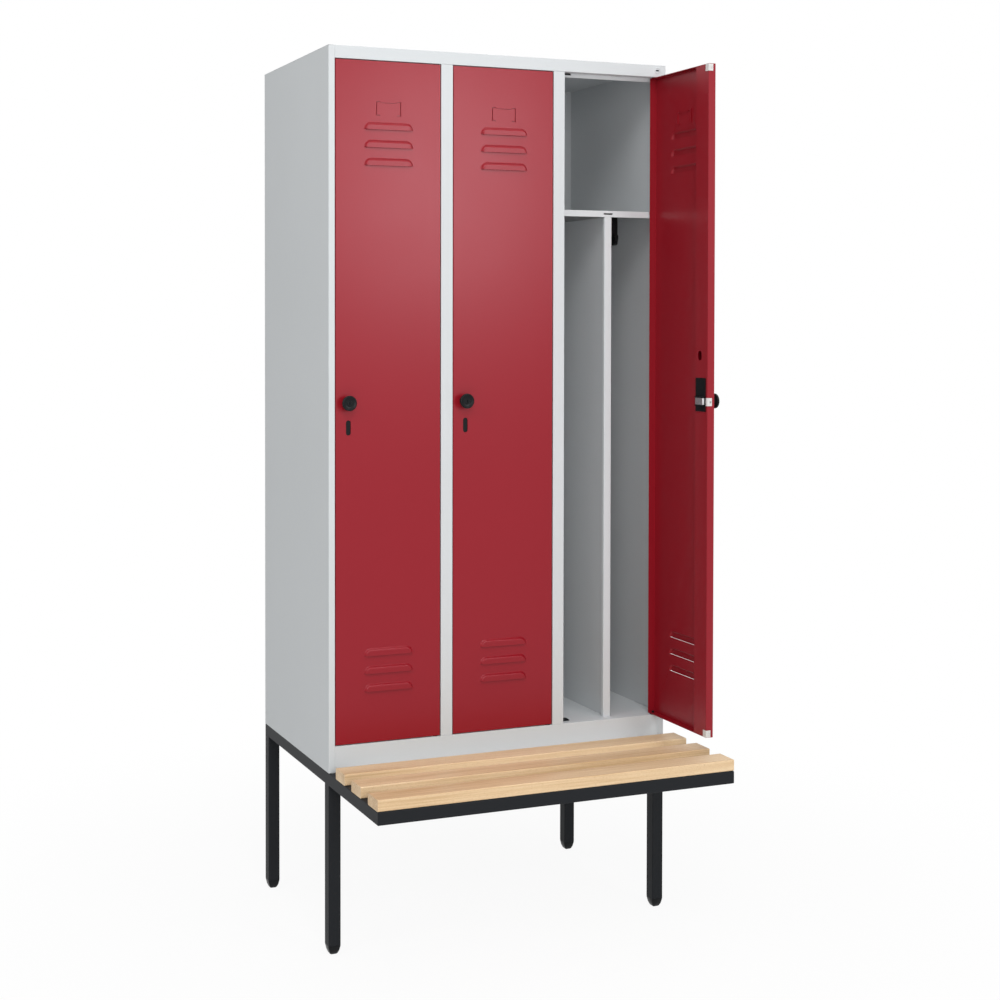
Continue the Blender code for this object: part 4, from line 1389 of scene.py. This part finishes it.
@dataclass
class Bumpers:
    """White bumpers on the free edge of a leaf: two in CAD at its ends, one here beside the lock."""

    leaf: Leaf
    height: float = 0.0193
    below_knob: float = 0.0105
    arm: float = 0.013
    back_arm: float = 0.0065
    wall: float = 0.0009
    edge_wall: float = 0.0007
    gap: float = 0.0003
    button_radius: float = 0.0034
    button_rise: float = 0.0006
    button_seat: float = 0.0075
    dish_rim: float = 0.6
    dish_foot: float = 0.5

    @property
    def low(self) -> float:
        """Lower end of the bumper beside the lock."""
        return self.leaf.knob[1] - self.below_knob

    def middle_bumper(self) -> Mesh:
        """Make the bumper beside the lock.

        Returns:
            The mesh, in the door's frame.
        """
        edge, back = self.leaf.free_edge - self.gap, self.leaf.back + self.gap
        outer, rear = edge - self.edge_wall, back + self.wall
        section = [
            (outer, rear - self.arm),
            (outer, rear),
            (outer + self.back_arm, rear),
            (outer + self.back_arm, back),
            (edge, back),
            (edge, rear - self.arm),
        ]
        made = object_of("bumper_middle", prism(section, self.low, self.low + self.height, axis=2))
        return mesh_of(round_edges(made, self.wall / 2))

    def bosses(self, levels: Sequence[float]) -> Mesh:
        """Make the round bosses on the bumpers' edge wings.

        Args:
            levels: The height of each boss.

        Returns:
            The mesh, in the door's frame.
        """
        radius, rise = self.button_radius, self.button_rise
        profile = [
            (0.0, rise),
            (radius, rise),
            (radius, -rise / 2),
            (radius - rise, -rise),
            (radius * self.dish_rim, -rise),
            (radius * self.dish_foot, 0.0),
            (0.0, 0.0),
        ]
        outer = self.leaf.free_edge - self.gap - self.edge_wall
        bosses = bmesh.new()
        for level in levels:
            boss = mesh_of(object_of("boss", turned(profile, steps=SMALL_STEPS)))
            place = Matrix.Translation((outer, self.leaf.back - self.button_seat, level))
            boss.transform(place @ Matrix.Rotation(-QUARTER_TURN, 4, "Z"))
            bosses.from_mesh(boss)
            bpy.data.meshes.remove(boss)
        return mesh_of(object_of("bosses", bosses))


@dataclass
class Door(Assembly):
    """One door with what it carries, placed and turned as in the photograph."""

    leaf: Leaf
    number: int
    pivot: Vector
    turn: float
    case_radius: float = 0.0006
    channel_radius: float = 0.0008
    bolt_radius: float = 0.0005
    bumper_radius: float = 0.0005
    plug_recess: float = 0.0014
    plug_depth: float = 0.006
    plug_gap: float = 0.0003
    plug_rim: float = 0.0009
    pin_radius: float = 0.0031
    pin_chamfer: float = 0.0008
    stud_gap: float = 0.0004
    stud_rise: float = 0.0055

    def named(self, name: str) -> str:
        """Return a name with the door's number."""
        return f"{name}_{self.number}"

    def put(
        self,
        name: str,
        mesh: Mesh,
        slot: Slot,
        body: str = "door",
        replaced: Sequence[str] = (),
    ) -> None:
        """Put a copy of a mesh in the door's frame where this door is.

        Args:
            name: The piece's name without the door's number.
            mesh: The mesh.
            slot: The slot of its finish.
            body: Its body without the number.
            replaced: The CAD nodes that it stands for, without the number.
        """
        place = Matrix.Translation((self.pivot.x, self.pivot.y, 0))
        copy = mesh.copy()
        copy.transform(place @ Matrix.Rotation(self.turn, 4, "Z"))
        nodes = [self.named(node) for node in replaced]
        self.shop.add(linked(self.named(name), copy), self.named(body), slot, nodes)

    def build(self, leaf_mesh: Mesh) -> None:
        """Dress the door.

        Args:
            leaf_mesh: The finished leaf, in the door's frame.
        """
        leaf = self.leaf
        self.put("pressed_leaf", leaf_mesh, Slot.DOOR, replaced=["door_leaf"])
        for node, slot, radius in (
            ("lock_channel", Slot.DOOR, self.channel_radius),
            ("lock_case", Slot.BLACK, self.case_radius),
            ("bolt", Slot.ZINC, self.bolt_radius),
            ("bumper_bottom", Slot.WHITE, self.bumper_radius),
            ("bumper_top", Slot.WHITE, self.bumper_radius),
        ):
            self.shop.rounded(self.named(node), slot, radius)
        self.shop.repaint(self.named("top_bush"), Slot.BLACK)
        self.add_pivots()
        knob = Knob().mesh(Vector((leaf.knob[0], leaf.face, leaf.knob[1])))
        self.put("turning_knob", knob, Slot.BLACK, "lock_knob", ["knob"])
        self.put("oblong_plug", self.plug(), Slot.BLACK)
        self.add_bumpers()

    def add_pivots(self) -> None:
        """Put the lower bush with its stud in the sill, and the upper pivot pin on the leaf."""
        leaf, radius, chamfer = self.leaf, self.pin_radius, self.pin_chamfer
        node = self.named("bottom_pivot")
        low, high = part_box(node)
        wide = (high.x - low.x) / 2
        shoulder, top = leaf.bottom - self.stud_gap, leaf.bottom + self.stud_rise
        stud = [
            (0.0, low.z),
            (wide, low.z),
            (wide, shoulder - chamfer),
            (wide - chamfer, shoulder),
            (radius, shoulder),
            (radius, top - chamfer),
            (radius - chamfer, top),
            (0.0, top),
        ]
        made = object_of(self.named("pivot_stud"), upright(stud, node))
        self.shop.add(made, self.shop.body_of[node], Slot.BLACK, [node])
        node = self.named("top_pin")
        foot, head = leaf.top - leaf.sheet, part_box(node)[1].z
        pin = [(0.0, foot), (radius, foot), (radius, head - chamfer), (radius - chamfer, head), (0.0, head)]
        made = object_of(self.named("pivot_pin"), upright(pin, node))
        self.shop.add(made, self.named("door"), Slot.ZINC, [node])

    def plug(self) -> Mesh:
        """Make the plug that fills the oblong opening, set a little into the face.

        Returns:
            The mesh, in the door's frame.
        """
        outline, face = self.leaf.oblong(self.plug_gap), self.leaf.face
        body = prism(outline, face + self.plug_recess, face + self.plug_depth)
        return mesh_of(round_edges(object_of("plug", body), self.plug_rim))

    def add_bumpers(self) -> None:
        """Put the middle bumper and the bosses of all three on the door."""
        bumpers = Bumpers(self.leaf)
        self.put("bumper_middle", bumpers.middle_bumper(), Slot.WHITE)
        boxes = [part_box(self.named(node)) for node in ("bumper_bottom", "bumper_top")]
        levels = [sum(corner.z for corner in box) / 2 for box in boxes]
        levels.append(bumpers.low + bumpers.height / 2)
        self.put("bumper_bosses", bumpers.bosses(levels), Slot.WHITE)


@dataclass
class Carcass(Assembly):
    """Folded sheet of the cabinet, with the rests and the cap on its front."""

    fold_radius: float = 0.0012
    least_fold: float = 0.1
    cap_radius: float = 0.0080
    cap_rise: float = 0.0014
    cap_ring: float = 0.0018
    cap_seat: float = 0.0004
    cap_steps: int = 4
    cap_inset: float = 0.0240
    cap_drop: float = 0.0137
    well_rise: float = 0.25
    inset_rise: float = 0.8
    inset_size: Point = (0.0084, 0.0032)
    rest_width: float = 0.0285
    rest_height: float = 0.0063
    rest_depth: float = 0.0013
    rest_foot: float = 0.0097
    rest_top: float = 2.0956
    rest_gap: float = 0.0003
    rest_slim: float = 0.35
    rest_radius: float = 0.0003
    spot_radius: float = 0.0028
    spot_rise: float = 0.00015
    spot_crown: float = 0.8
    spot_dish: float = 0.4
    spot_pitch: float = 0.155
    spot_inset: float = 0.0075

    def build(self) -> None:
        """Dress the cabinet's sheet."""
        for node in ("side_panel_left", "side_panel_right", "divider_1", "divider_2", "roof", "floor"):
            self.shop.rounded(node, Slot.BODY, self.fold_radius, least=self.least_fold)
        self.shop.repaint("back_panel", Slot.BODY)
        self.add_cap()
        self.add_rests()
        self.add_spots()

    def add_cap(self) -> None:
        """Put the plain cap on the header, at its right end: a ring round a bare dark inset."""
        low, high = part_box("roof")
        centre = Vector((high.x - self.cap_inset, low.y, high.z - self.cap_drop))
        radius, rise, seat = self.cap_radius, self.cap_rise, self.cap_seat
        well, sunk = radius - self.cap_ring, -rise * self.well_rise
        edge = arc((radius - rise, 0.0), rise, 0, -90, self.cap_steps)
        profile = [(0.0, seat), (radius, seat), *edge, (well, -rise), (well, sunk), (0.0, sunk)]
        self.shop.add(object_of("header_cap", turned(profile, centre)), "root", Slot.BODY)
        outline = rounded_box((centre.x, centre.z), self.inset_size)
        inset = prism(outline, centre.y - rise * self.inset_rise, centre.y)
        self.shop.add(object_of("cap_inset", inset), "root", Slot.BLACK)

    def add_rests(self) -> None:
        """Put the rests of each closed leaf behind its free corners, at the top and at the bottom."""
        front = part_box("shelf_1")[0].y - self.rest_depth
        rests = (
            ("rest_top", self.rest_top, self.rest_depth),
            ("rest_bottom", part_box("floor")[1].z, self.rest_foot),
        )
        for number, post in enumerate(("side_panel_left", "divider_1", "divider_2"), 1):
            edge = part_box(post)[1].x + self.rest_gap
            for name, level, depth in rests:
                wedge = prism(self.wedge(edge, level), front, front + depth)
                made = round_edges(object_of(f"{name}_{number}", wedge), self.rest_radius)
                self.shop.add(keep_flat_faces(made), "root", Slot.BLACK)

    def wedge(self, edge: float, level: float) -> list[Point]:
        """Draw a rest, thinner towards its free end.

        Args:
            edge: Where it starts.
            level: Its lower edge.

        Returns:
            Its outline.
        """
        end, crown = edge + self.rest_width, level + self.rest_height
        slim = level + self.rest_height * self.rest_slim
        return [(edge, level), (end, level), (end, slim), (end - self.rest_height, crown), (edge, crown)]

    def add_spots(self) -> None:
        """Put the spot weld marks on the rear flanges of the side panels."""
        low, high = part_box("side_panel_left")
        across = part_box("side_panel_right")[1].x - low.x - 2 * self.spot_inset
        radius, rise = self.spot_radius, self.spot_rise
        crown, dish = (radius * self.spot_crown, rise), (0.0, rise * self.spot_dish)
        spot = turned([(0.0, -rise), (radius, -rise), (radius, 0.0), crown, dish], steps=TINY_STEPS)
        count = int((high.z - low.z) / self.spot_pitch)
        spare = (high.z - low.z - (count - 1) * self.spot_pitch) / 2
        made = Rows().run(
            object_of("spot_welds", spot),
            self.shop.finishes[Slot.BODY],
            columns=2,
            rows=count,
            start=(low.x + self.spot_inset, high.y, low.z + spare),
            column_step=(across, 0.0, 0.0),
            row_step=(0.0, 0.0, self.spot_pitch),
        )
        self.shop.add(made, "root", Slot.BODY)


@dataclass
class Shelf:
    """Hat shelf: a pan of folded sheet, its flanges turned down, with a slot in the front one."""

    sheet: float = 0.001
    rounding: float = 0.0008
    slot_size: Point = (0.026, 0.004)
    slot_drop: float = 0.0078

    def build(self, name: str, low: Vector, high: Vector) -> Object:
        """Make the shelf.

        Args:
            name: The piece's name.
            low: The lower corner of its box.
            high: The upper corner of its box.

        Returns:
            The shelf, in place.
        """
        bm = bmesh.new()
        corners = [(high.x, low.y), (high.x, high.y), (low.x, high.y), (low.x, low.y)]
        lower, upper = ring(bm, corners, low.z, 2), ring(bm, corners, high.z, 2)
        bm.faces.new(upper)
        band(bm, lower, upper)
        middle = ((low.x + high.x) / 2, high.z - self.slot_drop)
        slot = ring(bm, rounded_box(middle, self.slot_size), low.y)
        fill(bm, [[lower[-1], lower[0], upper[0], upper[-1]], slot], axis=1)
        face_out(bm, Vector((0, 0, 1)))
        return thicken(round_edges(object_of(name, bm), self.rounding), self.sheet)


@dataclass
class Compartments(Assembly):
    """Shelves, partitions and coat hooks inside the cabinet."""

    count: int = 3
    nose_radius: float = 0.0016
    hook_radius: float = 0.0014

    def build(self) -> None:
        """Dress what is fixed inside each compartment."""
        for number in range(1, self.count + 1):
            node = f"shelf_{number}"
            self.shop.add(Shelf().build(f"hat_{node}", *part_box(node)), "root", Slot.BODY, [node])
            self.shop.rounded(f"partition_{number}", Slot.BODY, self.nose_radius)
            self.shop.rounded(f"coat_hook_{number}", Slot.BLACK, self.hook_radius)


@dataclass
class Base(Assembly):
    """Tubular base with its feet and its weld seams."""

    tube: float = 0.030
    tube_radius: float = 0.0024
    tube_segments: int = 4
    foot_radius: float = 0.0010
    bead_radius: float = 0.0010
    bead_inset: float = 0.0020
    bead_pitch: float = 0.0016
    bead_seed: int = 4

    def build(self) -> None:
        """Dress the base."""
        for node in ("side_frame_left", "side_frame_right", "front_rail", "middle_rail", "rear_rail"):
            self.shop.rounded(node, Slot.FRAME, self.tube_radius, self.tube_segments, self.tube)
        for node in ("foot_front_left", "foot_front_right", "foot_rear_left", "foot_rear_right"):
            self.shop.rounded(node, Slot.BLACK, self.foot_radius)
        self.add_seams()

    def add_seams(self) -> None:
        """Put weld seams where the cross rails meet the side rails, on their lower inner corners."""
        low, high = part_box("middle_rail")
        rear_low, rear_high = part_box("rear_rail")
        runs = []
        for x in (low.x, high.x):
            for y in (low.y, high.y, rear_low.y):
                runs.append((Vector((x, y, low.z)), Vector((x, y, high.z))))
            for start, end in ((low.y, high.y), (rear_low.y, rear_high.y - self.bead_inset)):
                runs.append((Vector((x, start, low.z)), Vector((x, end, low.z))))
        made = WeldBeads().run(
            line_mesh("frame_welds", runs),
            self.shop.finishes[Slot.FRAME],
            ripple_pitch=self.bead_pitch,
            bead_radius=self.bead_radius,
            seed=self.bead_seed,
        )
        self.shop.add(made, "root", Slot.FRAME)


@dataclass
class Bench(Assembly):
    """Slats of the bench with the screws that hold them from below."""

    count: int = 3
    rounding: float = 0.0026
    end_rounding: float = 0.0012
    screw_radius: float = 0.0042
    screw_rise: float = 0.0022
    screw_seat: float = 0.0002
    screw_steps: int = 6
    screw_inset: float = 0.015

    def build(self) -> None:
        """Dress the bench."""
        planks = Planks()
        for number in range(1, self.count + 1):
            node = f"bench_slat_{number}"
            low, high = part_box(node)
            middle = (low + high) / 2
            ends = Vector((low.x, middle.y, middle.z)), Vector((high.x, middle.y, middle.z))
            made = planks.run(
                line_mesh(f"beech_slat_{number}", [ends]),
                self.shop.finishes[Slot.WOOD],
                width=high.y - low.y,
                thickness=high.z - low.z,
                rounding=self.rounding,
            )
            made = keep_flat_faces(round_edges(made, self.end_rounding))
            self.shop.add(made, "root", Slot.WOOD, [node])
        self.add_screws()

    def add_screws(self) -> None:
        """Put the heads of the slats' screws under the side rails."""
        radius, seat = self.screw_radius, self.screw_seat
        dome = arc((0.0, 0.0), radius, 0, -90, self.screw_steps)
        head = [(0.0, seat), (radius, seat), *((x, y * self.screw_rise / radius) for x, y in dome)]
        screw = turned(head, steps=TINY_STEPS)
        screw.transform(Matrix.Rotation(QUARTER_TURN, 4, "X"))
        left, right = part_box("side_frame_left")[0].x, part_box("side_frame_right")[1].x
        first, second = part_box("bench_slat_1"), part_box("bench_slat_2")
        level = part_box("middle_rail")[0].z
        made = Rows().run(
            object_of("slat_screws", screw),
            self.shop.finishes[Slot.ZINC],
            columns=2,
            rows=self.count,
            start=(left + self.screw_inset, (first[0].y + first[1].y) / 2, level),
            column_step=(right - left - 2 * self.screw_inset, 0.0, 0.0),
            row_step=(0.0, second[0].y - first[0].y, 0.0),
        )
        self.shop.add(made, "root", Slot.ZINC)


@dataclass(frozen=True)
class Softbox:
    """One soft lamp, with its power in watts."""

    name: str
    place: Triple
    target: Triple
    size: Point
    power: float

    def hang(self) -> None:
        """Put the lamp in the scene."""
        light = bpy.data.lights.new(self.name, "AREA")
        light.shape = "RECTANGLE"
        light.size, light.size_y = self.size
        light.energy = self.power
        made = linked(self.name, light)
        made.location = self.place
        way = Vector(self.target) - Vector(self.place)
        made.rotation_euler = way.to_track_quat("-Z", "Y").to_euler()


@dataclass
class Studio:
    """Pale floor, soft light and the camera of the photograph."""

    eye: Triple = (-1.69738, -3.60006, 1.49364)
    yaw: float = 0.36103
    pitch: float = -0.01948
    lens: float = 57.583
    sensor: Point = (27.0, 36.0)
    shift: Point = (0.13912, -0.150)
    ambient: float = 0.36
    floor_size: float = 60.0
    floor_tone: Color = (0.88, 0.88, 0.88, 1)
    floor_roughness: float = 0.9
    shadow_share: float = 0.08
    shadow_reach: Point = (0.5, 2.0)
    softboxes: tuple[Softbox, ...] = (
        Softbox("key", (1.4, -3.8, 2.2), (0.0, 0.0, 1.6), (0.9, 1.1), 28.0),
        Softbox("fill", (-1.3, -4.2, 1.9), (0.1, 0.0, 1.1), (1.6, 1.8), 38.0),
        Softbox("high", (-1.7, -4.4, 5.6), (0.1, 0.1, 0.9), (2.4, 2.4), 118.0),
        Softbox("side", (-3.4, -1.4, 3.3), (-0.4, 0.1, 1.7), (1.6, 1.6), 25.0),
        Softbox("top", (0.2, -0.8, 5.0), (0.0, 0.0, 1.0), (3.0, 3.0), 50.0),
    )

    def build(self) -> None:
        """Set up the floor, the world, the lights and the camera."""
        self.add_floor()
        self.add_world()
        for softbox in self.softboxes:
            softbox.hang()
        self.add_camera()

    def add_floor(self) -> None:
        """Lay the pale floor, white to the camera but for a soft shadow."""
        half = self.floor_size / 2
        bm = bmesh.new()
        bm.faces.new(ring(bm, [(-half, -half), (half, -half), (half, half), (-half, half)], 0, 2))
        floor = object_of("studio_floor", bm)
        paint = Surface("white_floor")
        paint.set(Base_Color=self.floor_tone, Roughness=self.floor_roughness)
        length = paint.add("ShaderNodeVectorMath", {0: paint.place}, "Value", operation="LENGTH")
        near = (1.0 - self.shadow_share, 1.0)
        share = self.background_rays(paint) * paint.spread(length, self.shadow_reach, near, "SMOOTHSTEP")
        glow = paint.add("ShaderNodeEmission", {"Strength": 1.0})
        shaders = {0: share, 1: Wire(paint, paint.shader.outputs[0]), 2: glow}
        mixed = paint.add("ShaderNodeMixShader", shaders)
        paint.feed(paint.tree.nodes["Material Output"].inputs[0], mixed)
        floor.data.materials.append(paint.material)

    def background_rays(self, graph: Graph) -> Wire:
        """Mark the rays that show the background: from the camera, in gloss or through glass.

        Args:
            graph: The tree that needs it.

        Returns:
            One for these rays, and zero for others.
        """
        path = graph.tree.nodes.new("ShaderNodeLightPath").outputs
        names = ("Is Camera Ray", "Is Glossy Ray", "Is Transmission Ray")
        camera, gloss, glass = (Wire(graph, path[name]) for name in names)
        return graph.math("MINIMUM", camera + gloss + glass, 1.0)

    def add_world(self) -> None:
        """Light the object evenly from all round, with a white background."""
        world = bpy.data.worlds.new("studio_world")
        world.use_nodes = True
        graph = Graph(world.node_tree)
        shade = graph.tree.nodes["Background"]
        shade.inputs["Color"].default_value = (1, 1, 1, 1)
        strength = self.background_rays(graph) * (1.0 - self.ambient) + self.ambient
        graph.feed(shade.inputs["Strength"], strength)
        bpy.context.scene.world = world

    def add_camera(self) -> None:
        """Put the camera where the photograph was taken from."""
        camera = bpy.data.cameras.new("camera")
        camera.lens = self.lens
        camera.sensor_fit = "VERTICAL"
        camera.sensor_width, camera.sensor_height = self.sensor
        camera.shift_x, camera.shift_y = self.shift
        made = linked("camera", camera)
        made.location = self.eye
        made.rotation_euler = (QUARTER_TURN + self.pitch, 0, -self.yaw)
        bpy.context.scene.camera = made


def clear_scene() -> None:
    """Remove what a new Blender scene starts with."""
    for obj in list(bpy.data.objects):
        bpy.data.objects.remove(obj)


def add_doors(shop: Workshop, joints: Sequence[dict[str, Value]]) -> None:
    """Read the leaf's sizes and the doors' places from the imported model, and dress the doors.

    Args:
        shop: Where finished pieces go.
        joints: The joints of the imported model.
    """
    places = {joint["name"]: Vector(joint["pos_m"]) for joint in joints}
    pivot, knob = places["door_1_hinge"], places["knob_1_turn"]
    low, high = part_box("door_leaf_1")
    leaf = Leaf(
        hinge_edge=high.x - pivot.x,
        free_edge=low.x - pivot.x,
        bottom=low.z,
        top=high.z,
        back=high.y - pivot.y,
        knob=((knob - pivot).x, knob.z),
    )
    leaf_mesh = leaf.mesh(shop.finishes[Slot.DOOR])
    for number, turn in enumerate(DOOR_TURNS, 1):
        Door(shop, leaf, number, places[f"door_{number}_hinge"], turn).build(leaf_mesh)


def main() -> None:
    """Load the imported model, dress each sub-assembly and set up the studio."""
    logging.basicConfig(level=logging.INFO, format="%(name)s: %(message)s")
    clear_scene()
    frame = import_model()
    groups = frame["record"]["behaviour"]["bodies"]
    body_of = {node: body for body, nodes in groups.items() for node in nodes}
    finishes = {slot: finish.material() for slot, finish in FINISHES.items()}
    shop = Workshop(finishes, frame["nodes"], body_of)
    for assembly in (Carcass, Compartments, Base, Bench):
        assembly(shop).build()
    add_doors(shop, frame["joints"])
    Studio().build()
    bpy.context.scene.view_settings.view_transform = "Standard"
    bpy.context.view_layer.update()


if __name__ == "__main__":
    main()
